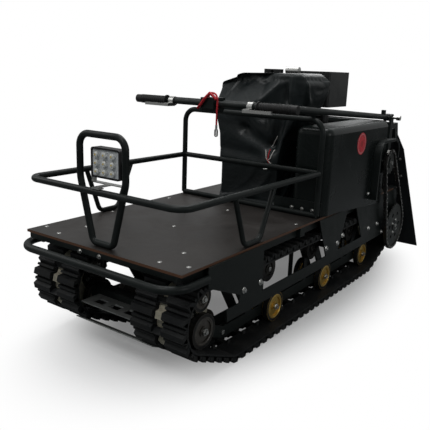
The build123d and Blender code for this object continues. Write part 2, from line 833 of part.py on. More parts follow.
# Chain: a core round both sprockets, with every second link standing proud of it
with BuildPart() as drive_chain:
    with BuildSketch(side_plane(chain_plane - chain_width / 2)):
        wrap_face(chain_turns, chain_facets, chain_core / 2)
    extrude(amount=chain_width)
    with BuildSketch(side_plane(chain_plane - chain_width / 2)):
        wrap_face(chain_turns, chain_facets, -chain_core / 2)
    extrude(amount=chain_width, mode=Mode.SUBTRACT)
    with BuildSketch(side_plane(chain_plane - link_width / 2)):
        with spot_places(loop_spots(chain_middle, wide_links, 0)):
            Rectangle(link_height, link_length)
    extrude(amount=link_width)
keep(drive_chain.part, "drive_chain")

# Rear frame: a cheek on each side with the handle's pivot and a sloping stay for the flap
handle_half = deck_width / 2 - handle_inset
cheek_in = handle_half + handle_tube / 2 + cheek_gap
cheek_out = cheek_in + cheek_thickness
flap_top = pivot_height - flap_drop
stay_top = flap_top - 5
stay_low = stay_top - 30
lean = (flap_low_station - flap_top_station) / (flap_top - flap_low)
stay_foot = flap_top_station + lean * (flap_top - deck_low)
with BuildPart() as rear_frame:
    for side in sides:
        faces = sorted((side * cheek_in, side * cheek_out))
        block(faces, (pivot_station - 20, pivot_station + 20), (deck_top, pivot_height))
        rod(*faces, pivot_station, pivot_height, eye_radius)
        stay = (
            (pivot_station, stay_low), (pivot_station, stay_top), (flap_top_station - seat, stay_top),
            (stay_foot - seat, deck_low), (stay_foot - 40, deck_low), (flap_top_station - 40, stay_low),
        )
        side_shape(*faces, stay)
    cross = (flap_top_station - 30, flap_top_station - seat)
    block((-cheek_in, cheek_in), cross, (stay_top - 20, stay_top))
    rod(-cheek_out, cheek_out, pivot_station, pivot_height, pin_radius + seat, mode=Mode.SUBTRACT)
keep(rear_frame.part, "rear_frame")

# Rear flap: a leaning sheet, wider at its foot
flap_plane = Plane(
    origin=(0, at(flap_top_station), flap_top),
    x_dir=(1, 0, 0),
    z_dir=(0, -math.cos(math.atan(lean)), -math.sin(math.atan(lean))),
)
flap_length = math.hypot(flap_low_station - flap_top_station, flap_top - flap_low)
# (half width, distance down the sheet)
flap_outline = ((flap_half_top, 0), (flap_half_low - 127, 82), (flap_half_low - 90, 173),
                (flap_half_low, flap_length))
with BuildPart() as rear_flap:
    with BuildSketch(flap_plane):
        with BuildLine():
            right = [(x, -d) for x, d in flap_outline]
            left = [(-x, y) for x, y in reversed(right)]
            Polyline(right + left, close=True)
        make_face()
    extrude(amount=-flap_thickness)
keep(rear_flap.part, "rear_flap")

# Handle frame: bent tube with an eye at each end
eye_width = handle_tube
with BuildPart() as handle_frame:
    front_height = pivot_height + handle_rise
    tube(
        [
            (handle_half, at(pivot_station), pivot_height),
            (handle_half, at(handle_front), front_height),
            (-handle_half, at(handle_front), front_height),
            (-handle_half, at(pivot_station), pivot_height),
        ],
        handle_corner,
        handle_tube,
    )
    for side in sides:
        middle = side * handle_half
        rod(middle - eye_width / 2, middle + eye_width / 2, pivot_station, pivot_height, eye_radius)
    rod(-cheek_out, cheek_out, pivot_station, pivot_height, pin_radius + seat, mode=Mode.SUBTRACT)
    latch = (pivot_station - 70, pivot_station - 50)
    block((handle_half - 10, handle_half + 10), latch, (pivot_height + 14, pivot_height + 42))
keep(handle_frame.part, "handle_frame")

with BuildPart() as pivot_pins:
    for side in sides:
        span = sorted((side * (handle_half - eye_width / 2 - 4), side * (cheek_out + 6)))
        rod(*span, pivot_station, pivot_height, pin_radius)
    rod(cheek_out + 6, cheek_out + 28, pivot_station, pivot_height, pin_radius)
    rod(cheek_out + 24, cheek_out + 44, pivot_station, pivot_height, knob_radius)
keep(pivot_pins.part, "pivot_pins")

# Handlebar with its clamp, grips and levers
bar_height = front_height
bar_half = handle_half + bar_overhang
with BuildPart() as handlebar:
    rod(-bar_half, bar_half, bar_station, bar_height, bar_tube / 2)
keep(handlebar.part, "handlebar")

clamp_front = bar_station - bar_tube
clamp_back = handle_front + 13
clamp_top = bar_height + clamp_rise
clamp_low = bar_height - clamp_drop
clamp_outline = (
    (clamp_front, clamp_top), (clamp_back, clamp_top), (clamp_back, clamp_low + 18), (clamp_back - 15, clamp_low),
    (clamp_front + 15, clamp_low), (clamp_front, clamp_low + 18),
)
with BuildPart() as bar_clamp:
    side_shape(-clamp_half, clamp_half, clamp_outline)
    bore = (-clamp_half, clamp_half)
    rod(*bore, bar_station, bar_height, bar_tube / 2 + seat, mode=Mode.SUBTRACT)
    rod(*bore, handle_front, front_height, handle_tube / 2 + seat, mode=Mode.SUBTRACT)
keep(bar_clamp.part, "bar_clamp")

grip_in = bar_half - grip_length
with BuildPart() as grips:
    for side in sides:
        rings = [(grip_in, bar_half + 8, grip_radius), (grip_in, grip_in + 5, grip_radius + 6)]
        rings += [(grip_in + 14 + 12 * rib, grip_in + 20 + 12 * rib, grip_radius + 1.5) for rib in range(12)]
        for near, far, radius in rings:
            rod(*sorted((side * near, side * far)), bar_station, bar_height, radius)
    rod(-bar_half - seat, bar_half + seat, bar_station, bar_height, bar_tube / 2 + seat, mode=Mode.SUBTRACT)
keep(grips.part, "grips")

perch_in = grip_in - 45
perch_out = grip_in - 20
with BuildPart() as levers:
    for side in sides:
        perch = sorted((side * perch_in, side * perch_out))
        rod(*perch, bar_station, bar_height, bar_tube / 2 + 7)
        block(perch, (bar_station - lever_reach + 8, bar_station), (bar_height - 22, bar_height - 8))
        blade = sorted((side * perch_in, side * (grip_in + 90)))
        blade_front = bar_station - lever_reach
        block(blade, (blade_front, blade_front + 10), (bar_height - 22, bar_height - 10))
    rod(-perch_out, perch_out, bar_station, bar_height, bar_tube / 2 + seat, mode=Mode.SUBTRACT)
keep(levers.part, "levers")

# Lanyard: a limp cord from the clamp's top, over the bar and down to its clip
# x, station and height, the last two from the bar
lanyard_route = (
    (-18, 13, clamp_rise), (-18, 13, 43), (6, 1, 46), (35, -11, 43), (56, -26, 26),
    (61, -34, 1), (61, -35, -27), (60, -34, -56), (60, -34, -84),
)
lanyard_points = [(x, at(bar_station + s), bar_height + z) for x, s, z in lanyard_route]
lanyard_bends = []
for before, corner, after in zip(lanyard_points, lanyard_points[1:], lanyard_points[2:]):
    inward = Vector(*corner) - Vector(*before)
    outward = Vector(*after) - Vector(*corner)
    half_turn = math.radians(inward.get_angle(outward)) / 2
    lanyard_bends.append(0.45 * min(inward.length, outward.length) / math.tan(half_turn))
with BuildPart() as lanyard:
    tube(lanyard_points, lanyard_bends, lanyard_width)
print("lanyard radii", [round(bend, 1) for bend in lanyard_bends])
keep(lanyard.part, "lanyard")

clip_x, clip_y, clip_top = lanyard_points[-1]
with BuildPart() as lanyard_clip:
    with BuildSketch(Plane(origin=(clip_x, clip_y - 3, clip_top), x_dir=(1, 0, 0), z_dir=(0, -1, 0))):
        with Locations((0, -10)):
            Rectangle(8, 20)
        with Locations((0, -32)):
            SlotOverall(34, 16, rotation=90)
            SlotOverall(24, 6, rotation=90, mode=Mode.SUBTRACT)
    extrude(amount=-6)
keep(lanyard_clip.part, "lanyard_clip")
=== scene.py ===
import json
import math

import bmesh
import bpy
from mathutils import Matrix, Vector
from mathutils.bvhtree import BVHTree


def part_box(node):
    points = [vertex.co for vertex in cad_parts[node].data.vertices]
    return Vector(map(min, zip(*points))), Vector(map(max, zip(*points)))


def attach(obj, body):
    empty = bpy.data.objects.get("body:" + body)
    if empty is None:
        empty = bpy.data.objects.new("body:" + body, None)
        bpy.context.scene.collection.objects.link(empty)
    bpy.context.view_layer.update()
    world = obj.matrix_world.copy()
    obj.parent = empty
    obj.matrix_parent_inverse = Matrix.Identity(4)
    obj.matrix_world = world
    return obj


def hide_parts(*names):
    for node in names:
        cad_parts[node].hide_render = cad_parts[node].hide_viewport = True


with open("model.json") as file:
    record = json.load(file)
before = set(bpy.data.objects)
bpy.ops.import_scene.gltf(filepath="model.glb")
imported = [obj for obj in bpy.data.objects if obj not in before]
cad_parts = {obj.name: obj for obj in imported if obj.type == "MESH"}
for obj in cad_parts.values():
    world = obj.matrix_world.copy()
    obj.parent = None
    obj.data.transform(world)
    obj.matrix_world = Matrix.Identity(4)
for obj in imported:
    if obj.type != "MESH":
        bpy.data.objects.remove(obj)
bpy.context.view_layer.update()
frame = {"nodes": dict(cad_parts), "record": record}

deckFront = -1.0965  # the deck's front edge; a station is a distance behind it
deckTop = 0.454


def at(station):
    return deckFront + station


def newObject(name, data):
    made = bpy.data.objects.new(name, data)
    bpy.context.scene.collection.objects.link(made)
    return made


def meshData(name, mesh):
    data = bpy.data.meshes.new(name)
    mesh.to_mesh(data)
    mesh.free()
    return data


# Camera, from the photograph's own perspective
cameraView = {
    "place": (1.4594, at(-1.3141), 1.0879),
    "yaw": 35.678,
    "pitch": 14.346,
    "roll": 2.087,
    "lens": 47.41,
    "sensor": 36.0,
}


def makeCamera(view):
    yaw, pitch, roll = (math.radians(view[key]) for key in ("yaw", "pitch", "roll"))
    level = math.cos(pitch)
    ahead = Vector((-math.sin(yaw) * level, math.cos(yaw) * level, -math.sin(pitch)))
    right = ahead.cross(Vector((0, 0, 1))).normalized()
    above = right.cross(ahead)
    across = right * math.cos(roll) + above * math.sin(roll)
    upward = above * math.cos(roll) - right * math.sin(roll)
    data = bpy.data.cameras.new("photoCamera")
    data.lens = view["lens"]
    data.sensor_width = view["sensor"]
    camera = newObject("photoCamera", data)
    turn = Matrix((across, upward, -ahead)).transposed().to_4x4()
    camera.matrix_world = Matrix.Translation(view["place"]) @ turn
    bpy.context.scene.camera = camera


makeCamera(cameraView)
print("camera set")


# Node helpers
def node(tree, kind, **values):
    made = tree.nodes.new(kind)
    for key, value in values.items():
        if key in made.inputs:
            made.inputs[key].default_value = value
        else:
            setattr(made, key, value)
    return made


def link(tree, *pairs):
    for source, target in pairs:
        tree.links.new(source, target)


def remap(tree, source, to=(0.0, 1.0), start=(0.0, 1.0), **values):
    made = node(tree, "ShaderNodeMapRange", **values)
    for label, value in zip(("From Min", "From Max", "To Min", "To Max"), (*start, *to)):
        made.inputs[label].default_value = value
    tree.links.new(source, made.inputs["Value"])
    return made


def noiseOver(tree, scale, **values):
    coords = node(tree, "ShaderNodeTexCoord")
    noise = node(tree, "ShaderNodeTexNoise", **values)
    link(tree, (coords.outputs["Object"], noise.inputs["Vector"]), (scale, noise.inputs["Scale"]))
    return noise.outputs["Fac"]


def newGroup(name, inputs, outputs):
    group = bpy.data.node_groups.new(name, "ShaderNodeTree")
    for label, value in inputs.items():
        socket = group.interface.new_socket(label, in_out="INPUT", socket_type="NodeSocketFloat")
        socket.default_value = value
    for label in outputs:
        group.interface.new_socket(label, in_out="OUTPUT", socket_type="NodeSocketFloat")
    return group, group.nodes.new("NodeGroupInput"), group.nodes.new("NodeGroupOutput")


# Shared effects: grain for bump, blotches for colour, and wear along edges
effectLook = {
    "grainSpan": (0.25, 0.75),
    "edgeSpan": (0.97, 0.85),  # likeness of the rounded and the flat normal, from no wear to full
    "edgeSamples": 4,
    "chipSpan": (0.45, 0.6),
}


def makeGrain(look):
    group, inward, outward = newGroup("grainGroup", {"Scale": 200.0, "Contrast": 1.0}, ("Height",))
    speckle = noiseOver(group, inward.outputs["Scale"], Detail=3.0, Roughness=0.6)
    ramp = remap(group, speckle, start=look["grainSpan"])
    link(group, (inward.outputs["Contrast"], ramp.inputs["To Max"]),
         (ramp.outputs["Result"], outward.inputs["Height"]))
    return group


def makeBlotch():
    group, inward, outward = newGroup("blotchGroup", {"Scale": 6.0, "Low": 0.42, "High": 0.68}, ("Mask",))
    cloud = noiseOver(group, inward.outputs["Scale"], Detail=7.0, Roughness=0.65, Distortion=0.6)
    ramp = remap(group, cloud)
    link(group, (inward.outputs["Low"], ramp.inputs["From Min"]),
         (inward.outputs["High"], ramp.inputs["From Max"]), (ramp.outputs["Result"], outward.inputs["Mask"]))
    return group


def makeEdge(look):
    group, inward, outward = newGroup("edgeGroup", {"Width": 0.002, "Breakup": 60.0}, ("Mask",))
    bevel = node(group, "ShaderNodeBevel", samples=look["edgeSamples"])
    flat = node(group, "ShaderNodeNewGeometry")
    likeness = node(group, "ShaderNodeVectorMath", operation="DOT_PRODUCT")
    ramp = remap(group, likeness.outputs["Value"], start=look["edgeSpan"])
    chips = noiseOver(group, inward.outputs["Breakup"], Detail=5.0, Roughness=0.7)
    sharpen = remap(group, chips, start=look["chipSpan"])
    both = node(group, "ShaderNodeMath", operation="MULTIPLY")
    link(group, (inward.outputs["Width"], bevel.inputs["Radius"]),
         (bevel.outputs["Normal"], likeness.inputs[0]), (flat.outputs["True Normal"], likeness.inputs[1]),
         (ramp.outputs["Result"], both.inputs[0]), (sharpen.outputs["Result"], both.inputs[1]),
         (both.outputs["Value"], outward.inputs["Mask"]))
    return group


grainGroup = makeGrain(effectLook)
blotchGroup = makeBlotch()
edgeGroup = makeEdge(effectLook)

# One entry for each finish: colour, the colour of its blotches, gloss, bump and edge wear
finishes = {
    "framePaint": dict(colour=(0.008, 0.0105, 0.01), second=(0.014, 0.0175, 0.0165), rough=(0.36, 0.52),
                       coat=0.05, shine=0.15, blotch=7.0, grain=420.0, bump=0.05,
                       edge=(0.0011, (0.08, 0.08, 0.075))),
    "beltRubber": dict(colour=(0.009, 0.01, 0.0108), second=(0.024, 0.024, 0.0235), rough=(0.55, 0.8),
                       blotch=16.0, grain=700.0, bump=0.22, edge=(0.0015, (0.05, 0.05, 0.048))),
    "rollerRubber": dict(colour=(0.012, 0.012, 0.012), second=(0.034, 0.032, 0.029), rough=(0.45, 0.7),
                         blotch=20.0, grain=600.0, bump=0.12, edge=(0.0012, (0.05, 0.047, 0.043))),
    "flapRubber": dict(colour=(0.008, 0.0095, 0.0105), second=(0.016, 0.0185, 0.02), rough=(0.4, 0.6),
                       blotch=5.0, grain=500.0, bump=0.1, edge=(0.001, (0.04, 0.04, 0.04))),
    "gripRubber": dict(colour=(0.01, 0.01, 0.01), second=(0.018, 0.018, 0.018), rough=(0.5, 0.68),
                       blotch=30.0, grain=900.0, bump=0.15, edge=(0.0008, (0.03, 0.03, 0.03))),
    "creamPlastic": dict(colour=(0.6, 0.55, 0.43), second=(0.36, 0.33, 0.26), rough=(0.42, 0.6),
                         blotch=24.0, grain=400.0, bump=0.05, edge=(0.001, (0.74, 0.7, 0.6))),
    "cowlGloss": dict(colour=(0.006, 0.0085, 0.008), second=(0.01, 0.0135, 0.0125), rough=(0.22, 0.34),
                      coat=0.15, shine=0.15, blotch=3.0, grain=60.0, bump=0.02,
                      edge=(0.0008, (0.04, 0.04, 0.04))),
    "blackPlastic": dict(colour=(0.013, 0.014, 0.014), second=(0.022, 0.024, 0.024), rough=(0.36, 0.52),
                         blotch=8.0, grain=800.0, bump=0.08, edge=(0.0008, (0.04, 0.04, 0.04))),
    "zinc": dict(colour=(0.6, 0.6, 0.58), second=(0.42, 0.42, 0.41), rough=(0.25, 0.42), metal=1.0,
                 blotch=45.0, grain=900.0, bump=0.04, edge=(0.0006, (0.8, 0.8, 0.78))),
    "chainSteel": dict(colour=(0.13, 0.128, 0.122), second=(0.05, 0.047, 0.044), rough=(0.3, 0.5), metal=1.0,
                       blotch=60.0, grain=900.0, bump=0.05, edge=(0.0006, (0.45, 0.44, 0.42))),
    "sprocketSteel": dict(colour=(0.028, 0.031, 0.03), second=(0.05, 0.054, 0.05), rough=(0.4, 0.6),
                          metal=0.4, blotch=25.0, grain=700.0, bump=0.05,
                          edge=(0.0008, (0.35, 0.35, 0.34))),
    "stepMetal": dict(colour=(0.3, 0.31, 0.3), second=(0.16, 0.16, 0.155), rough=(0.4, 0.6), metal=0.6,
                      blotch=18.0, grain=600.0, bump=0.06, edge=(0.001, (0.5, 0.5, 0.5))),
    "engineMetal": dict(colour=(0.035, 0.036, 0.038), second=(0.07, 0.07, 0.07), rough=(0.42, 0.62),
                        metal=0.5, blotch=14.0, grain=500.0, bump=0.15, edge=(0.001, (0.2, 0.2, 0.2))),
    "lampBlack": dict(colour=(0.014, 0.014, 0.015), second=(0.024, 0.024, 0.025), rough=(0.42, 0.58),
                      blotch=20.0, grain=900.0, bump=0.12, edge=(0.0006, (0.1, 0.1, 0.1))),
    "redCord": dict(colour=(0.5, 0.02, 0.03), second=(0.3, 0.01, 0.018), rough=(0.6, 0.8),
                    blotch=160.0, grain=1400.0, bump=0.5, edge=(0.0004, (0.62, 0.08, 0.08))),
    "whiteCord": dict(colour=(0.62, 0.6, 0.57), second=(0.44, 0.42, 0.4), rough=(0.6, 0.8),
                      blotch=160.0, grain=1400.0, bump=0.5, edge=(0.0004, (0.7, 0.7, 0.68))),
    "ledGlass": dict(colour=(0.86, 0.87, 0.84), second=(0.7, 0.71, 0.66), rough=(0.06, 0.14), coat=1.0,
                     blotch=90.0, grain=300.0, bump=0.02, edge=(0.0006, (0.95, 0.95, 0.95))),
    "ledChip": dict(colour=(0.84, 0.62, 0.16), second=(0.7, 0.48, 0.1), rough=(0.35, 0.5),
                    blotch=300.0, grain=900.0, bump=0.05, edge=(0.0003, (0.9, 0.75, 0.3))),
}
slotFinish = {
    "frame_paint": "framePaint", "belt_rubber": "beltRubber", "roller_rubber": "rollerRubber",
    "flap_rubber": "flapRubber", "grip_rubber": "gripRubber",
    "polyethylene": "creamPlastic", "cowl_gloss": "cowlGloss", "black_plastic": "blackPlastic",
    "zinc": "zinc", "chain_steel": "chainSteel", "sprocket_steel": "sprocketSteel",
    "step_metal": "stepMetal", "engine_metal": "engineMetal", "lamp_black": "lampBlack",
    "red_cord": "redCord",
}


def emptyMaterial(name):
    material = bpy.data.materials.new(name)
    material.use_nodes = True
    tree = material.node_tree
    return material, tree, tree.nodes["Principled BSDF"]


def placeGroup(tree, group, **values):
    made = tree.nodes.new("ShaderNodeGroup")
    made.node_tree = group
    for key, value in values.items():
        made.inputs[key].default_value = value
    return made


def mixColour(tree, mask, first, second):
    mix = tree.nodes.new("ShaderNodeMix")
    mix.data_type = "RGBA"
    for socket, value in ((mix.inputs[6], first), (mix.inputs[7], second)):
        if isinstance(value, tuple):
            socket.default_value = (*value, 1.0)
        else:
            tree.links.new(value, socket)
    tree.links.new(mask, mix.inputs[0])
    return mix.outputs[2]


def dress(tree, shader, colour, rough, normal):
    link(tree, (colour, shader.inputs["Base Color"]), (rough, shader.inputs["Roughness"]),
         (normal, shader.inputs["Normal"]))


def makeRelief(tree, height, strength, depth, under=None):
    relief = node(tree, "ShaderNodeBump", Strength=strength, Distance=depth)
    tree.links.new(height, relief.inputs["Height"])
    if under is not None:
        tree.links.new(under, relief.inputs["Normal"])
    return relief.outputs["Normal"]


fineRelief = 0.001
coatRoughness = 0.14


def makeFinish(name, colour, second, rough, blotch, grain, bump, edge, coat=0.0, metal=0.0, shine=0.25):
    material, tree, shader = emptyMaterial(name)
    patches = placeGroup(tree, blotchGroup, Scale=blotch).outputs["Mask"]
    wear = placeGroup(tree, edgeGroup, Width=edge[0]).outputs["Mask"]
    surface = placeGroup(tree, grainGroup, Scale=grain).outputs["Height"]
    worn = mixColour(tree, wear, mixColour(tree, patches, colour, second), edge[1])
    dress(tree, shader, worn, remap(tree, patches, rough).outputs["Result"],
          makeRelief(tree, surface, bump, fineRelief))
    shader.inputs["Metallic"].default_value = metal
    shader.inputs["Specular IOR Level"].default_value = shine
    shader.inputs["Coat Weight"].default_value = coat
    shader.inputs["Coat Roughness"].default_value = coatRoughness
    return material


materials = {name: makeFinish(name, **values) for name, values in finishes.items()}


# Rollers: gold plate on those that run on the floor, dark and dull on those at the nose, inside the belt's
# front loop
rollerLook = {
    "gold": (0.68, 0.44, 0.1),
    "goldWorn": (0.44, 0.31, 0.09),
    "dull": (0.06, 0.052, 0.044),
    "dullWorn": (0.1, 0.092, 0.08),
    "noseEnd": 0.5,  # the station where the gold ones start
    "patches": dict(Scale=30.0, Low=0.45, High=0.75),
    "grain": 500.0,
    "bump": 0.05,
    "metal": (0.1, 0.75),  # dull, gold
    "rough": (0.3, 0.5),
}


def makeRollerPlate(look):
    material, tree, shader = emptyMaterial("rollerPlate")
    coords = node(tree, "ShaderNodeTexCoord")
    parts = node(tree, "ShaderNodeSeparateXYZ")
    behind = node(tree, "ShaderNodeMath", operation="GREATER_THAN")
    behind.inputs[1].default_value = at(look["noseEnd"])
    link(tree, (coords.outputs["Object"], parts.inputs["Vector"]), (parts.outputs["Y"], behind.inputs[0]))
    patches = placeGroup(tree, blotchGroup, **look["patches"]).outputs["Mask"]
    surface = placeGroup(tree, grainGroup, Scale=look["grain"]).outputs["Height"]
    gold = mixColour(tree, patches, look["gold"], look["goldWorn"])
    dull = mixColour(tree, patches, look["dull"], look["dullWorn"])
    dress(tree, shader, mixColour(tree, behind.outputs["Value"], dull, gold),
          remap(tree, patches, look["rough"]).outputs["Result"],
          makeRelief(tree, surface, look["bump"], fineRelief))
    metal = remap(tree, behind.outputs["Value"], look["metal"])
    tree.links.new(metal.outputs["Result"], shader.inputs["Metallic"])
    return material


materials["rollerPlate"] = makeRollerPlate(rollerLook)
slotFinish["roller_yellow"] = "rollerPlate"


# Deck board: dark film with a fine mesh print, brown wood at its edges
plyLook = {
    "film": (0.0205, 0.018, 0.0165),
    "filmWorn": (0.034, 0.0305, 0.028),
    "wood": (0.17, 0.08, 0.045),
    "darkPly": 0.45,  # share of the wood's colour in each second ply
    "plies": 420.0 / 6.283,
    "waver": 1.2,
    "upright": 0.5,  # a face whose normal rises less than this is an edge
    "scuffs": dict(Scale=5.0, Low=0.4, High=0.75),
    "weave": (230.0, 0.12),  # scale, bump
    "fine": (900.0, 0.08),
    "depth": 0.0006,
    "rough": (0.38, 0.6),
    "shine": 0.25,
}


def makePly(look):
    material, tree, shader = emptyMaterial("deckPly")
    coords = node(tree, "ShaderNodeTexCoord")
    facing = node(tree, "ShaderNodeNewGeometry")
    parts = node(tree, "ShaderNodeSeparateXYZ")
    side = node(tree, "ShaderNodeMath", operation="LESS_THAN")
    side.inputs[1].default_value = look["upright"]
    upright = node(tree, "ShaderNodeMath", operation="ABSOLUTE")
    link(tree, (facing.outputs["Normal"], parts.inputs["Vector"]), (parts.outputs["Z"], upright.inputs[0]),
         (upright.outputs["Value"], side.inputs[0]))
    scuffs = placeGroup(tree, blotchGroup, **look["scuffs"]).outputs["Mask"]
    weave = node(tree, "ShaderNodeTexVoronoi", Scale=look["weave"][0], feature="DISTANCE_TO_EDGE")
    fine = node(tree, "ShaderNodeTexNoise", Scale=look["fine"][0], Detail=2.0)
    layers = node(tree, "ShaderNodeTexWave", bands_direction="Z", Scale=look["plies"], Distortion=look["waver"])
    for texture in (weave, fine, layers):
        tree.links.new(coords.outputs["Object"], texture.inputs["Vector"])
    film = mixColour(tree, scuffs, look["film"], look["filmWorn"])
    darkWood = tuple(c * look["darkPly"] for c in look["wood"])
    edgeWood = mixColour(tree, layers.outputs["Fac"], look["wood"], darkWood)
    relief = makeRelief(tree, weave.outputs["Distance"], look["weave"][1], look["depth"])
    dress(tree, shader, mixColour(tree, side.outputs["Value"], film, edgeWood),
          remap(tree, scuffs, look["rough"]).outputs["Result"],
          makeRelief(tree, fine.outputs["Fac"], look["fine"][1], look["depth"], relief))
    shader.inputs["Specular IOR Level"].default_value = look["shine"]
    return material


materials["deckPly"] = makePly(plyLook)
slotFinish["plywood"] = "deckPly"


# Lamp lens: pale and hazy. The cells over its lights are pieces of their own
lensLook = {"clear": (0.72, 0.74, 0.76), "hazy": (0.6, 0.62, 0.64), "haze": 40.0, "rough": 0.12, "coat": 0.6}


def makeLens(look):
    material, tree, shader = emptyMaterial("lampLens")
    haze = placeGroup(tree, blotchGroup, Scale=look["haze"]).outputs["Mask"]
    tree.links.new(mixColour(tree, haze, look["clear"], look["hazy"]), shader.inputs["Base Color"])
    shader.inputs["Roughness"].default_value = look["rough"]
    shader.inputs["Coat Weight"].default_value = look["coat"]
    return material


materials["lampLens"] = makeLens(lensLook)
slotFinish["lens"] = "lampLens"


# Engine cover's coated cloth
vinylLook = {
    "colour": (0.0065, 0.0095, 0.01),
    "faded": (0.0135, 0.0185, 0.0195),
    "fading": dict(Scale=5.0, Low=0.4, High=0.8),
    "leather": 420.0,
    "crinkle": 16.0,
    "rough": (0.3, 0.48),
    "fineBump": (0.12, 0.0006),  # strength, depth
    "broadBump": (0.35, 0.006),
    "shine": 0.3,
}


def makeVinyl(look):
    material, tree, shader = emptyMaterial("coverVinyl")
    coords = node(tree, "ShaderNodeTexCoord")
    leather = node(tree, "ShaderNodeTexVoronoi", Scale=look["leather"])
    crinkle = node(tree, "ShaderNodeTexNoise", Scale=look["crinkle"], Detail=4.0, Distortion=1.5)
    for texture in (leather, crinkle):
        tree.links.new(coords.outputs["Object"], texture.inputs["Vector"])
    faded = placeGroup(tree, blotchGroup, **look["fading"]).outputs["Mask"]
    broad = makeRelief(tree, crinkle.outputs["Fac"], *look["broadBump"])
    dress(tree, shader, mixColour(tree, faded, look["colour"], look["faded"]),
          remap(tree, faded, look["rough"]).outputs["Result"],
          makeRelief(tree, leather.outputs["Distance"], *look["fineBump"], broad))
    shader.inputs["Specular IOR Level"].default_value = look["shine"]
    return material


materials["coverVinyl"] = makeVinyl(vinylLook)
slotFinish["vinyl"] = "coverVinyl"

nodeSlots = {entry["node"]: entry["material_slot"] for entry in frame["record"]["subparts"]}
for nodeName, piece in frame["nodes"].items():
    finish = materials[slotFinish[nodeSlots[nodeName]]]
    for place in piece.material_slots:
        place.material = finish
print("finishes placed on", len(frame["nodes"]), "pieces")


# Mesh helpers. Edges are sharp from these angles on, in degrees
roundAngle, plainAngle, crispAngle = 50.0, 35.0, 30.0
weld = 1e-6


def finishMesh(name, mesh, body, finish, angle=plainAngle):
    bmesh.ops.remove_doubles(mesh, verts=mesh.verts, dist=weld)
    bmesh.ops.recalc_face_normals(mesh, faces=mesh.faces)
    data = meshData(name, mesh)
    piece = newObject(name, data)
    data.materials.append(materials[finish])
    data.shade_smooth()
    data.set_sharp_from_angle(angle=math.radians(angle))
    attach(piece, body)
    return piece


def facingFrame(place, facing):
    turn = Vector((0, 0, 1)).rotation_difference(Vector(facing)).to_matrix().to_4x4()
    return Matrix.Translation(place) @ turn


def surfaceSpots(piece, heading, starts):
    # where lines from the starts meet the piece
    tree = BVHTree.FromObject(piece, bpy.context.evaluated_depsgraph_get())
    return [tree.ray_cast(Vector(start), Vector(heading)) for start in starts]


def addRod(mesh, start, end, radius, segments=8):
    run = Vector(end) - Vector(start)
    made = bmesh.ops.create_cone(mesh, cap_ends=True, segments=segments, radius1=radius, radius2=radius,
                                 depth=run.length)
    move = facingFrame((Vector(start) + Vector(end)) / 2, run.normalized())
    bmesh.ops.transform(mesh, matrix=move, verts=made["verts"])


def addLathe(mesh, profile, place, facing, segments, closed=False):
    # profile: (radius, distance along the axis) points, spun once round
    before = set(mesh.verts)
    made = [mesh.verts.new((radius, 0, along)) for radius, along in profile]
    ends = made[1:] + made[:1] if closed else made[1:]
    edges = [mesh.edges.new(pair) for pair in zip(made, ends)]
    bmesh.ops.spin(mesh, geom=made + edges, cent=(0, 0, 0), axis=(0, 0, 1), angle=math.tau, steps=segments,
                   use_merge=True)
    fresh = [vertex for vertex in mesh.verts if vertex not in before]
    bmesh.ops.transform(mesh, matrix=facingFrame(place, facing), verts=fresh)


def wrapSpots(turns, grow, count, phase=0.0):
    # (station, height, outward angle) spread evenly round a loop of turns, each (station, height, radius)
    ahead = turns[1:] + turns[:1]
    leave = []
    for (s, z, r), (sNext, zNext, rNext) in zip(turns, ahead):
        gap = math.hypot(sNext - s, zNext - z)
        leave.append(math.atan2(zNext - z, sNext - s) - math.acos((r - rNext) / gap))
    stretches = []
    for place, (s, z, r) in enumerate(turns):
        sweep = (leave[place] - leave[place - 1]) % math.tau
        sNext, zNext, rNext = ahead[place]
        run = math.sqrt(math.hypot(sNext - s, zNext - z) ** 2 - (r - rNext) ** 2)
        stretches.append((sweep * (r + grow), s, z, leave[place - 1], r + grow))
        start = Vector((s, z)) + Vector((math.cos(leave[place]), math.sin(leave[place]))) * (r + grow)
        stretches.append((run, start.x, start.y, leave[place], 0))
    total = sum(stretch[0] for stretch in stretches)
    spots = []
    for step in range(count):
        distance = total * (step + phase) / count
        for length, s, z, angle, radius in stretches:
            if distance <= length:
                break
            distance -= length
        if radius:
            angle += distance / radius
            spots.append((s + radius * math.cos(angle), z + radius * math.sin(angle), angle))
        else:
            spots.append((s - distance * math.sin(angle), z + distance * math.cos(angle), angle))
    return spots


# Red lanyard: from the clamp's top over the bar and down to its clip
lanyardLook = {
    "diameter": 0.008,
    "length": 0.211,
    "order": 3,
    "steps": (12, 3),  # along, around
    "route": (
        (-0.018, at(0.668), 0.975), (-0.018, at(0.668), 0.992), (0.006, at(0.656), 0.995),
        (0.035, at(0.644), 0.992), (0.056, at(0.629), 0.975), (0.061, at(0.621), 0.95),
        (0.061, at(0.62), 0.922), (0.06, at(0.621), 0.893), (0.06, at(0.621), 0.865),
    ),
}


def makeLanyard(look):
    curve = bpy.data.curves.new("redLanyard", "CURVE")
    curve.dimensions = "3D"
    spline = curve.splines.new("NURBS")
    spline.points.add(len(look["route"]) - 1)
    for point, place in zip(spline.points, look["route"]):
        point.co = (*place, 1.0)
    spline.order_u = look["order"]
    spline.use_endpoint_u = True
    curve.resolution_u, curve.bevel_resolution = look["steps"]
    curve.bevel_depth = look["diameter"] / 2
    curve.use_fill_caps = True
    curve.materials.append(materials["redCord"])
    cord = newObject("redLanyard", curve)
    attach(cord, "handle")
    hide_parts("lanyard")


makeLanyard(lanyardLook)

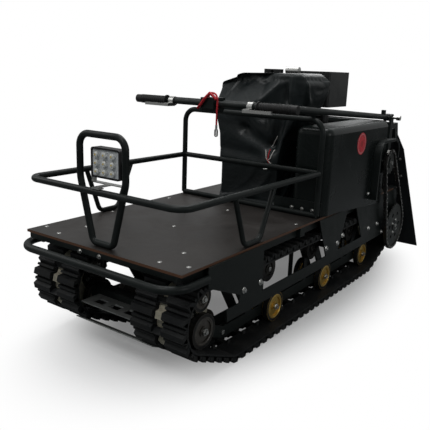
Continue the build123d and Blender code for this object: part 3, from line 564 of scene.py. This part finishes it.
# Red strap tied round the clamp, fixed on its front
strapLook = {
    "radius": 0.0062,
    "sides": 12,
    "ballSteps": 2,
    "route": (
        (-0.046, at(0.63), 0.93), (-0.029, at(0.621), 0.942), (-0.004, at(0.62), 0.972),
        (0.014, at(0.63), 0.994), (0.036, at(0.622), 0.985), (0.058, at(0.615), 0.972),
    ),
}


def makeStrap(look):
    mesh = bmesh.new()
    for start, end in zip(look["route"], look["route"][1:]):
        addRod(mesh, start, end, look["radius"], look["sides"])
    for place in look["route"]:
        bmesh.ops.create_icosphere(mesh, subdivisions=look["ballSteps"], radius=look["radius"],
                                   matrix=Matrix.Translation(place))
    finishMesh("clampStrap", mesh, "handle", "redCord", roundAngle)


makeStrap(strapLook)

# Engine cover: coated cloth over the engine's front, slack enough to crease
coverLook = {
    "voxel": 0.0085,
    "slack": 0.02,
    "frames": 18,
    "proud": 0.006,
    "rise": 0.004,
    "drift": 0.011,
    "lean": 0.75,
    "frontDepth": 0.06,
    "hemHeight": 0.652,
    "hemStep": 0.012,
    "hemNarrow": 0.965,
    "smoothing": (3, 0.5),
    "weld": 1e-5,
    "heldRows": (2, 2.2),  # at the back and at the top, in voxels
    "heldFoot": 0.02,
    "thickness": 0.0014,
    "flat": (0.86, 0.72),
}
clothSettings = {
    "quality": 6,
    "mass": 0.45,
    "tension_stiffness": 25,
    "compression_stiffness": 25,
    "shear_stiffness": 8,
    "bending_stiffness": 1.5,
    "shrink_min": -coverLook["slack"],
    "shrink_max": -coverLook["slack"],
    "vertex_group_mass": "held",
}
# The long crease across the front: (x, z) points, and above it the cloth leans back
coverRidge = (
    (-0.25, 0.93), (-0.1, 0.935), (0.013, 0.957), (0.109, 1.035), (0.2, 1.06), (0.29, 1.062),
)
# Creases set before the cloth settles: (x, z) of both ends, half width, depth pushed back
coverCreases = (
    ((0.02, 0.9), (0.15, 0.985), 0.05, 0.022),
    ((0.16, 0.99), (0.25, 0.95), 0.05, 0.014),
    ((0.15, 0.9), (0.105, 0.75), 0.022, 0.03),
    ((0.05, 0.88), (0.08, 0.76), 0.03, 0.022),
    ((-0.06, 0.82), (0.08, 0.745), 0.028, 0.02),
    ((-0.19, 0.9), (-0.07, 0.83), 0.035, 0.014),
    ((-0.17, 0.72), (0.04, 0.7), 0.03, 0.012),
    ((-0.12, 1.04), (-0.2, 0.94), 0.03, 0.01),
)


def creaseDepth(x, z):
    depth = 0.0
    for (ax, az), (bx, bz) in zip(coverRidge, coverRidge[1:]):
        if ax <= x <= bx:
            depth += coverLook["lean"] * max(0.0, z - az - (bz - az) * (x - ax) / (bx - ax))
    for start, end, width, most in coverCreases:
        ax, az = start
        bx, bz = end
        share = ((x - ax) * (bx - ax) + (z - az) * (bz - az)) / ((bx - ax) ** 2 + (bz - az) ** 2)
        share = min(1.0, max(0.0, share))
        away = math.hypot(x - ax - share * (bx - ax), z - az - share * (bz - az)) / width
        depth += most * math.exp(-away * away)
    return depth


def bakedMesh(piece):
    return bpy.data.meshes.new_from_object(piece.evaluated_get(bpy.context.evaluated_depsgraph_get()))


def makeCover(look):
    source = bmesh.new()
    source.from_mesh(frame["nodes"]["engine_cover"].data)
    bmesh.ops.remove_doubles(source, verts=source.verts, dist=look["weld"])
    data = meshData("engineCloth", source)
    cloth = newObject("engineCloth", data)
    remesh = cloth.modifiers.new("evenMesh", "REMESH")
    remesh.mode = "VOXEL"
    remesh.voxel_size = look["voxel"]
    evened = bakedMesh(cloth)
    cloth.modifiers.clear()
    low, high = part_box("engine_cover")
    mesh = bmesh.new()
    mesh.from_mesh(evened)
    # the back and the foot stay open
    away = [face for face in mesh.faces if face.calc_center_median().y > high.y - look["voxel"]
            or face.calc_center_median().z < low.z + look["voxel"]]
    bmesh.ops.delete(mesh, geom=away, context="FACES")
    for vertex in mesh.verts:
        vertex.co.x = min(high.x, max(low.x, vertex.co.x))
        vertex.co.y = max(low.y, vertex.co.y)
        front = max(0.0, 1.0 - (vertex.co.y - low.y) / look["frontDepth"])
        vertex.co.y += front * creaseDepth(vertex.co.x, vertex.co.z)
        if vertex.co.z < look["hemHeight"]:
            vertex.co.y += look["hemStep"] * front
            vertex.co.x *= look["hemNarrow"]
    rounds, factor = look["smoothing"]
    for _ in range(rounds):
        bmesh.ops.smooth_vert(mesh, verts=[v for v in mesh.verts if not v.is_boundary], factor=factor,
                              use_axis_x=True, use_axis_y=True, use_axis_z=True)
    mesh.to_mesh(data)
    mesh.free()
    settleCloth(cloth, look, low, high)
    wall = cloth.modifiers.new("clothWall", "SOLIDIFY")
    wall.thickness = look["thickness"]
    wall.offset = -1
    finer = cloth.modifiers.new("finer", "SUBSURF")
    finer.levels = 1
    finer.render_levels = 1
    data.materials.clear()
    data.materials.append(materials["coverVinyl"])
    data.shade_smooth()
    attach(cloth, "machine")
    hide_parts("engine_cover")


def settleCloth(cloth, look, low, high):
    before = [vertex.co.copy() for vertex in cloth.data.vertices]
    back, top = (rows * look["voxel"] for rows in look["heldRows"])
    held = cloth.vertex_groups.new(name="held")
    held.add([v.index for v in cloth.data.vertices
              if v.co.y > high.y - back or v.co.z > high.z - top or v.co.z < low.z + look["heldFoot"]],
             1.0, "REPLACE")
    settle = cloth.modifiers.new("settle", "CLOTH")
    for key, value in clothSettings.items():
        setattr(settle.settings, key, value)
    settle.collision_settings.use_collision = False
    scene = bpy.context.scene
    for step in range(1, look["frames"] + 1):
        scene.frame_set(step)
    for vertex, was, now in zip(cloth.data.vertices, before, bakedMesh(cloth).vertices):
        move = now.co - was
        if move.length > look["drift"]:
            move *= look["drift"] / move.length
        place = was + move
        place.y = max(place.y, low.y - look["proud"])
        place.z = min(place.z, high.z + look["rise"])
        vertex.co = place
    cloth.modifiers.remove(settle)
    cloth.vertex_groups.clear()
    scene.frame_set(1)


makeCover(coverLook)
print("cover settled")

# Lacing, a thin cord and a clip fixed on the cover's front: (x, z) points
trimLook = {
    "lace": 0.0026,
    "cord": 0.0021,
    "whiteRuns": (
        ((0.066, 0.727), (0.079, 0.69), (0.088, 0.68)), ((0.109, 0.729), (0.104, 0.691), (0.09, 0.68)),
        ((0.09, 0.68), (0.111, 0.664)),
    ),
    "redRuns": (
        ((0.084, 0.729), (0.09, 0.689)), ((0.079, 0.686), (0.1, 0.681)), ((0.088, 0.68), (0.098, 0.668)),
    ),
    "cordRuns": (((0.122, 0.796), (0.11, 0.777), (0.096, 0.757), (0.084, 0.741)),),
    "clip": ((0.068, 0.634), (0.09, 0.637)),
    "clipRadius": 0.005,
    "steps": 3,
    "shortest": 0.001,
    "stand": 0.8,  # how far the middle of a run stands before the cloth, in radii
    "startAway": 0.1,
}


def makeCoverTrim(look):
    cloth = bpy.data.objects["engineCloth"]
    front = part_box("engine_cover")[0].y - look["startAway"]
    steps = look["steps"]
    white, red, zinc = bmesh.new(), bmesh.new(), bmesh.new()
    for mesh, runs, radius in (
        (white, look["whiteRuns"], look["lace"]), (red, look["redRuns"], look["lace"]),
        (white, look["cordRuns"], look["cord"]), (zinc, (look["clip"],), look["clipRadius"]),
    ):
        for run in runs:
            starts = [(ax + (bx - ax) * step / steps, front, az + (bz - az) * step / steps)
                      for (ax, az), (bx, bz) in zip(run, run[1:]) for step in range(steps + 1)]
            met = surfaceSpots(cloth, (0, 1, 0), starts)
            places = [place - Vector((0, radius * look["stand"], 0)) for place, _, _, _ in met]
            for start, end in zip(places, places[1:]):
                if (end - start).length > look["shortest"]:
                    addRod(mesh, start, end, radius)
    finishMesh("coverLacing", white, "machine", "whiteCord", roundAngle)
    finishMesh("coverKnot", red, "machine", "redCord", roundAngle)
    finishMesh("coverClip", zinc, "machine", "zinc", roundAngle)


makeCoverTrim(trimLook)

# Rubber bands and rims of the rollers on the floor and at the nose: (station, height, radius)
rollerSpots = ((0.715, 0.099, 0.067), (1.21, 0.099, 0.067), (1.697, 0.099, 0.067), (0.1989, 0.1701, 0.067),
               (0.185, 0.3017, 0.05))
lineOffsets = (0.212, 0.33)  # x of the rollers' middles
bandLook = {
    "clear": 0.0001,
    "depth": 0.0145,
    "half": 0.0135,
    "round": 0.0018,
    "rimWidth": 0.0045,
    "rimProud": 0.0142,
    "rimChamfer": (0.0015, 0.0012),  # up and along
    "rimLap": 0.001,
    "rimLip": 0.0022,
    "segments": 48,
}


def makeRollerBands(look):
    rubber, rims = bmesh.new(), bmesh.new()
    half, turned, proud = look["half"], look["round"], look["rimProud"]
    up, along = look["rimChamfer"]
    for station, height, radius in rollerSpots:
        outer, inner = radius - look["clear"], radius - look["depth"]
        low, lap, lip = inner - look["rimWidth"], inner + look["rimLap"], inner + look["rimLip"]
        band = ((inner, -half), (outer - turned, -half), (outer, turned - half), (outer, half - turned),
                (outer - turned, half), (inner, half))
        rim = ((low, along - proud), (low + up, -proud), (lap, -proud), (lip, -half), (lip, half),
               (lap, proud), (low + up, proud), (low, proud - along))
        for middle in [side * line for side in (-1, 1) for line in lineOffsets]:
            for mesh, profile in ((rubber, band), (rims, rim)):
                addLathe(mesh, profile, (middle, at(station), height), (1, 0, 0), look["segments"], closed=True)
    finishMesh("rollerBands", rubber, "machine", "rollerRubber")
    finishMesh("rollerRims", rims, "machine", "rollerPlate")


makeRollerBands(bandLook)

# Zinc bolt heads, on the side plates (station, height) and elsewhere (x, station, height, facing)
boltLook = {
    "headRadius": 0.0085,
    "headHeight": 0.006,
    "washerRadius": 0.013,
    "washerHeight": 0.0018,
    "sides": (20, 6),
    "sink": 0.0005,
    "taper": 0.94,
    "plateFace": 0.401,
    "axleFace": 0.35,
    "axleSize": 1.1,
    "smallSize": 0.75,
    "metSize": 0.7,
}
plateBolts = (
    (0.364, 0.296), (0.481, 0.294), (1.068, 0.293), (1.191, 0.291), (1.248, 0.318), (1.594, 0.284),
    (1.722, 0.284), (1.812, 0.218),
)
smallBolts = (
    (-0.087, 0.0, 0.429, (0, -1, 0)), (0.015, 0.0, 0.431, (0, -1, 0)),
    (0.244, 0.99, 0.48, (0, -1, 0)), (0.298, 0.99, 0.48, (0, -1, 0)), (0.351, 0.99, 0.48, (0, -1, 0)),
    (0.405, 1.53, 0.486, (1, 0, 0)),
)
# Bolts set on whatever the line meets: (piece, heading, the start's x, station and height)
metBolts = (
    ("rear_flap", (0, 1, 0), (0.385, 1.98, 0.504)), ("rear_flap", (0, 1, 0), (0.378, 1.98, 0.61)),
    ("rear_flap", (0, 1, 0), (-0.385, 1.98, 0.504)), ("rear_flap", (0, 1, 0), (-0.378, 1.98, 0.61)),
    ("sprockets", (-1, 0, 0), (0.6, 1.962, 0.265)), ("sprockets", (-1, 0, 0), (0.6, 1.912, 0.251)),
    ("sprockets", (-1, 0, 0), (0.6, 1.931, 0.196)), ("sprockets", (-1, 0, 0), (0.6, 1.98, 0.208)),
)


def addBolt(mesh, place, facing, look, size=1.0):
    move = facingFrame(place, facing)
    washerSides, headSides = look["sides"]
    for segments, radius, low, high in (
        (washerSides, look["washerRadius"], -look["sink"], look["washerHeight"]),
        (headSides, look["headRadius"], look["washerHeight"], look["washerHeight"] + look["headHeight"]),
    ):
        made = bmesh.ops.create_cone(mesh, cap_ends=True, segments=segments, radius1=radius * size,
                                     radius2=radius * size * look["taper"], depth=(high - low) * size)
        lift = Matrix.Translation((0, 0, (high + low) / 2 * size))
        bmesh.ops.transform(mesh, matrix=move @ lift, verts=made["verts"])


def makeBolts(look):
    mesh = bmesh.new()
    for side in (-1, 1):
        for station, height in plateBolts:
            addBolt(mesh, (side * look["plateFace"], at(station), height), (side, 0, 0), look)
        for station, height, _ in rollerSpots:
            place = (side * look["axleFace"], at(station), height)
            addBolt(mesh, place, (side, 0, 0), look, look["axleSize"])
    for x, station, height, facing in smallBolts:
        addBolt(mesh, (x, at(station), height), facing, look, look["smallSize"])
    for piece, heading, (x, station, height) in metBolts:
        start = (x, at(station), height)
        place, normal, _, _ = surfaceSpots(frame["nodes"][piece], heading, [start])[0]
        if normal.dot(Vector(heading)) > 0:
            normal = -normal
        addBolt(mesh, place, normal, look, look["metSize"])
    finishMesh("boltHeads", mesh, "machine", "zinc", crispAngle)


makeBolts(boltLook)

# Flat countersunk screws in the deck: (x, station)
screwLook = {
    "radius": 0.0085,
    "crown": 0.9,
    "rise": 0.0011,
    "lip": (1.1, 1.15),
    "socket": 0.0034,
    "sink": 0.0008,
    "segments": 24,
}
deckScrews = (
    (-0.37, 0.075), (-0.259, 0.047), (0.256, 0.052), (0.362, 0.077), (-0.255, 0.183), (0.255, 0.183),
    (-0.362, 0.43), (0.362, 0.43), (-0.362, 0.82), (0.362, 0.82), (0.0, 0.82), (0.0, 0.43),
)


def makeScrews(look):
    mesh = bmesh.new()
    radius, rise, socket = look["radius"], look["rise"], look["socket"]
    lipOut, lipUp = look["lip"]
    head = ((radius, 0.0), (radius * look["crown"], rise), (socket * lipOut, rise * lipUp),
            (socket, rise - look["sink"]), (0.0, rise - look["sink"]))
    for x, station in deckScrews:
        addLathe(mesh, head, (x, at(station), deckTop), (0, 0, 1), look["segments"])
    finishMesh("deckScrews", mesh, "machine", "zinc", crispAngle)


makeScrews(screwLook)

# Round red sticker on the cowl, left plain
stickerLook = {
    "x": 0.405,
    "station": 1.373,
    "height": 0.762,
    "radius": 0.054,
    "edge": 0.99,
    "thickness": 0.0006,
    "segments": 64,
    "angle": 40.0,
    # rings from the middle outwards: share of the radius, colour
    "rings": (
        (0.0, (0.62, 0.03, 0.035)), (0.3, (0.88, 0.05, 0.07)), (0.84, (0.85, 0.7, 0.68)),
        (0.88, (0.88, 0.05, 0.07)),
    ),
    "scuffs": dict(Scale=60.0, Low=0.5, High=0.8),
    "scuffed": (0.4, 0.02, 0.03),
    "rough": 0.35,
}


def makeStickerPrint(look):
    material, tree, shader = emptyMaterial("redSticker")
    coords = node(tree, "ShaderNodeTexCoord")
    centred = node(tree, "ShaderNodeMapping")
    centred.inputs["Location"].default_value = (-look["x"], -at(look["station"]), -look["height"])
    reach = node(tree, "ShaderNodeVectorMath", operation="LENGTH")
    share = node(tree, "ShaderNodeMath", operation="DIVIDE")
    share.inputs[1].default_value = look["radius"]
    rings = node(tree, "ShaderNodeValToRGB")
    while len(rings.color_ramp.elements) < len(look["rings"]):
        rings.color_ramp.elements.new(0.5)
    rings.color_ramp.interpolation = "CONSTANT"
    for element, (place, colour) in zip(rings.color_ramp.elements, look["rings"]):
        element.position = place
        element.color = (*colour, 1)
    scuffs = placeGroup(tree, blotchGroup, **look["scuffs"]).outputs["Mask"]
    link(tree, (coords.outputs["Object"], centred.inputs["Vector"]),
         (centred.outputs["Vector"], reach.inputs[0]), (reach.outputs["Value"], share.inputs[0]),
         (share.outputs["Value"], rings.inputs["Fac"]),
         (mixColour(tree, scuffs, rings.outputs["Color"], look["scuffed"]), shader.inputs["Base Color"]))
    shader.inputs["Roughness"].default_value = look["rough"]
    return material


materials["redSticker"] = makeStickerPrint(stickerLook)


def makeSticker(look):
    mesh = bmesh.new()
    radius, thickness = look["radius"], look["thickness"]
    disc = ((radius, 0.0), (radius * look["edge"], thickness), (0.0, thickness))
    addLathe(mesh, disc, (look["x"], at(look["station"]), look["height"]), (1, 0, 0), look["segments"])
    finishMesh("roundSticker", mesh, "machine", "redSticker", look["angle"])


makeSticker(stickerLook)

# Work lamp: a domed cell over each light, with its chip behind a thin ring
lampLook = {
    "station": 0.042,
    "height": 0.757,
    "across": 0.04,
    "up": 0.03,
    "cell": 0.0112,
    # share of the cell's radius, distance out
    "profile": ((1.0, 0.0), (1.0, 0.0014), (0.86, 0.0016), (0.8, 0.0006), (0.62, 0.00272), (0.38, 0.0034)),
    "chip": ((0.39, 0.003332), (0.0, 0.003468)),
    "segments": 28,
    "chipSides": 4,
}


def makeLampCells(look):
    cells, chips = bmesh.new(), bmesh.new()
    cell, chip = ([(look["cell"] * share, out) for share, out in look[key]] for key in ("profile", "chip"))
    for column in (-1, 0, 1):
        for row in (-1, 0, 1):
            place = (column * look["across"], at(look["station"]), look["height"] + row * look["up"])
            addLathe(cells, cell, place, (0, -1, 0), look["segments"])
            addLathe(chips, chip, place, (0, -1, 0), look["chipSides"])
    finishMesh("lampCells", cells, "lamp", "ledGlass")
    finishMesh("lampChips", chips, "lamp", "ledChip")


makeLampCells(lampLook)

# Chain: plates and pins over the plain links of its outer face
chainLook = {
    "turns": ((1.758, 0.628, 0.066), (1.945, 0.235, 0.132)),
    "plane": 0.425,
    "pins": 58,
    "pinRadius": 0.0042,
    "pinLength": 0.0012,
    "pinCrown": 0.0014,
    "pinSink": 0.0004,
    "pinSides": 10,
    "plateRadius": 0.0072,
    "plateThickness": 0.0012,
    "plateSides": 12,
    "wide": 0.0092,
    "narrow": 0.0062,
}


def addPlate(mesh, look, face, side, spot, nextSpot):
    (station, height), (nextStation, nextHeight) = spot, nextSpot
    length = math.hypot(nextStation - station, nextHeight - height)
    made = bmesh.ops.create_circle(mesh, cap_ends=True, segments=look["plateSides"],
                                   radius=look["plateRadius"])["verts"]
    for vertex in made:
        vertex.co.x += math.copysign(length / 2, vertex.co.x)
    faces = list({f for vertex in made for f in vertex.link_faces})
    thick = bmesh.ops.extrude_face_region(mesh, geom=faces)["geom"]
    raised = [g for g in thick if isinstance(g, bmesh.types.BMVert)]
    bmesh.ops.translate(mesh, vec=(0, 0, look["plateThickness"]), verts=raised)
    turn = math.atan2(nextHeight - height, nextStation - station)
    lay = Matrix(((0, 0, side, face), (math.cos(turn), -math.sin(turn), 0, at((station + nextStation) / 2)),
                  (math.sin(turn), math.cos(turn), 0, (height + nextHeight) / 2), (0, 0, 0, 1)))
    bmesh.ops.transform(mesh, matrix=lay, verts=made + raised)


def makeChain(look):
    mesh, pins = bmesh.new(), bmesh.new()
    spots = [spot[:2] for spot in wrapSpots(look["turns"], 0.0, look["pins"], phase=0.5)]
    radius = look["pinRadius"]
    pin = ((radius, 0.0), (radius, look["pinLength"]), (0.0, look["pinCrown"]))
    pinFoot = look["wide"] + look["plateThickness"] - look["pinSink"]
    for place, (station, height) in enumerate(spots):
        nextSpot = spots[(place + 1) % len(spots)]
        for side in (-1, 1):
            face = look["plane"] + side * (look["wide"] if place % 2 else look["narrow"])
            foot = (look["plane"] + side * pinFoot, at(station), height)
            addLathe(pins, pin, foot, (side, 0, 0), look["pinSides"])
            addPlate(mesh, look, face, side, (station, height), nextSpot)
    finishMesh("chainPlates", mesh, "machine", "chainSteel", crispAngle)
    finishMesh("chainPins", pins, "machine", "zinc", crispAngle)


makeChain(chainLook)

# Belts: guide lugs inside, tread bars outside over the pointed lugs, and low ribs between them
beltLook = {
    "turns": ((0.161, 0.238, 0.114), (0.361, 0.099, 0.067), (1.697, 0.099, 0.067), (1.945, 0.235, 0.098)),
    "middle": 0.271,
    "half": 0.121,
    "windows": 40,
    "guidePath": 0.005,  # how far outside the turns the guides stand
    "guideSink": 0.0045,
    "guideOffset": 0.0365,
    "guideHalf": 0.0055,
    "guideHeight": 0.014,
    "guideLength": 0.022,
    "guideTaper": 0.55,
    "treadPath": 0.01,
    "treadSink": 0.002,
    "barHeight": 0.0212,
    "barFoot": 0.021,
    "barTip": 0.0115,
    "ribHeight": 0.013,
    "ribFoot": 0.007,
    "ribTip": 0.0045,
    "gap": 0.0215,
}


def loopFrames(look, path, count, phase=0.0):
    for station, height, angle in wrapSpots(look["turns"], path, count, phase):
        out = Vector((0, math.cos(angle), math.sin(angle)))
        yield Vector((0, at(station), height)), out, Vector((0, -math.sin(angle), math.cos(angle)))


def addGuides(mesh, look, side):
    for base, out, along in loopFrames(look, look["guidePath"], look["windows"]):
        foot = base - out * look["guideSink"]
        for line in (-1, 1):
            middle = side * (look["middle"] + line * look["guideOffset"])
            for vertex in bmesh.ops.create_cube(mesh, size=1.0)["verts"]:
                tip = look["guideTaper"] if vertex.co.z < 0 else 1.0
                x = middle + vertex.co.x * 2 * look["guideHalf"] * tip
                run = along * (vertex.co.y * look["guideLength"] * tip)
                depth = look["guideHeight"] * (0.5 - vertex.co.z)
                vertex.co = Vector((x, 0, 0)) + foot + run - out * depth


def addTread(mesh, look, side):
    for phase, kind in ((0.0, "bar"), (0.5, "rib")):
        foot, tip, rise = (look[kind + part] for part in ("Foot", "Tip", "Height"))
        for base, out, along in loopFrames(look, look["treadPath"], 2 * look["windows"], phase):
            for low, high in ((-look["half"], -look["gap"]), (look["gap"], look["half"])):
                for vertex in bmesh.ops.create_cube(mesh, size=1.0)["verts"]:
                    x = side * look["middle"] + (high if vertex.co.x > 0 else low)
                    wide = tip if vertex.co.z > 0 else foot
                    lift = rise if vertex.co.z > 0 else -look["treadSink"]
                    run = along * math.copysign(wide, vertex.co.y)
                    vertex.co = Vector((x, 0, 0)) + base + run + out * lift


def makeBeltDetail(look):
    guides, tread = bmesh.new(), bmesh.new()
    for side in (-1, 1):
        addGuides(guides, look, side)
        addTread(tread, look, side)
    finishMesh("beltGuides", guides, "machine", "beltRubber", crispAngle)
    finishMesh("beltTread", tread, "machine", "beltRubber", crispAngle)


makeBeltDetail(beltLook)
print("trim made")

# Lights and floor: (name, place, size, power), all turned to the aim
lightAim = (0, 0, 0.4)
lightPlan = (
    ("keyLight", (0.4, -3.2, 4.4), 2.2, 62.0),
    ("fillLight", (-3.6, -2.0, 3.2), 2.2, 30.0),
    ("topLight", (-0.6, 0.5, 4.4), 2.6, 95.0),
    ("rimLight", (-1.6, 4.2, 3.2), 2.0, 34.0),
    ("sideLight", (4.2, -0.8, 1.8), 1.6, 16.0),
)
for name, place, size, power in lightPlan:
    data = bpy.data.lights.new(name, "AREA")
    data.size = size
    data.energy = power
    lamp = newObject(name, data)
    turn = (Vector(lightAim) - Vector(place)).to_track_quat("-Z", "Y")
    lamp.matrix_world = Matrix.Translation(place) @ turn.to_matrix().to_4x4()

stageLook = {
    "surround": (0.74, 0.8, 0.8, 1),
    "surroundStrength": 0.13,
    "white": (1, 1, 1, 1),
    "glossyShare": 0.3,  # how much of the white background metal shows
    "floorSize": 14.0,
    "floorSteps": 4,
    "floorDrop": 0.0005,
    "floor": (0.9, 0.905, 0.91, 1),
    "floorRough": 0.9,
    "floorSeenByPieces": (0.24, 0.25, 0.255, 1),
    "fadeScale": (0.62, 1.28, 1.0),
    "fadeReach": (0.66, 1.2),
    "fadeShare": (0.18, 1.0),
}


def mixShaders(tree, share, first, second):
    mix = node(tree, "ShaderNodeMixShader")
    link(tree, (share, mix.inputs[0]), (first.outputs[0], mix.inputs[1]), (second.outputs[0], mix.inputs[2]))
    return mix


def makeWorld(look):
    world = bpy.data.worlds.new("studio")
    bpy.context.scene.world = world
    world.use_nodes = True
    tree = world.node_tree
    plain = tree.nodes["Background"]
    plain.inputs["Color"].default_value = look["surround"]
    plain.inputs["Strength"].default_value = look["surroundStrength"]
    white = node(tree, "ShaderNodeBackground", Color=look["white"], Strength=1.0)
    rays = node(tree, "ShaderNodeLightPath")
    glossy = node(tree, "ShaderNodeMath", operation="MULTIPLY")
    glossy.inputs[1].default_value = look["glossyShare"]
    seen = node(tree, "ShaderNodeMath", operation="MAXIMUM")
    through = node(tree, "ShaderNodeMath", operation="MAXIMUM")
    link(tree, (rays.outputs["Is Glossy Ray"], glossy.inputs[0]),
         (rays.outputs["Is Camera Ray"], seen.inputs[0]), (glossy.outputs["Value"], seen.inputs[1]),
         (seen.outputs["Value"], through.inputs[0]), (rays.outputs["Is Transmission Ray"], through.inputs[1]))
    mix = mixShaders(tree, through.outputs["Value"], plain, white)
    tree.links.new(mix.outputs[0], tree.nodes["World Output"].inputs["Surface"])


def makeFloorMaterial(look):
    # white from a distance on, so that the floor runs into the background and keeps the shadow
    material, tree, shader = emptyMaterial("paleFloor")
    shader.inputs["Base Color"].default_value = look["floor"]
    shader.inputs["Roughness"].default_value = look["floorRough"]
    white = node(tree, "ShaderNodeEmission", Color=look["white"], Strength=1.0)
    dim = node(tree, "ShaderNodeBsdfDiffuse", Color=look["floorSeenByPieces"])
    coords = node(tree, "ShaderNodeTexCoord")
    spread = node(tree, "ShaderNodeMapping", vector_type="TEXTURE")
    spread.inputs["Scale"].default_value = look["fadeScale"]
    reach = node(tree, "ShaderNodeVectorMath", operation="LENGTH")
    fade = remap(tree, reach.outputs["Value"], look["fadeShare"], look["fadeReach"],
                 interpolation_type="SMOOTHSTEP")
    rays = node(tree, "ShaderNodeLightPath")
    seen = node(tree, "ShaderNodeMath", operation="MULTIPLY")
    link(tree, (coords.outputs["Object"], spread.inputs["Vector"]), (spread.outputs["Vector"], reach.inputs[0]),
         (fade.outputs["Result"], seen.inputs[0]), (rays.outputs["Is Camera Ray"], seen.inputs[1]))
    plain = mixShaders(tree, rays.outputs["Is Camera Ray"], dim, shader)
    mix = mixShaders(tree, seen.outputs["Value"], plain, white)
    tree.links.new(mix.outputs[0], tree.nodes["Material Output"].inputs["Surface"])
    return material


def makeFloor(look):
    mesh = bmesh.new()
    steps = look["floorSteps"]
    bmesh.ops.create_grid(mesh, x_segments=steps, y_segments=steps, size=look["floorSize"])
    data = meshData("floor", mesh)
    floor = newObject("floor", data)
    floor.location.z = -look["floorDrop"]
    data.materials.append(makeFloorMaterial(look))


makeWorld(stageLook)
makeFloor(stageLook)
bpy.context.scene.view_settings.view_transform = "Standard"
print("lights and floor set")
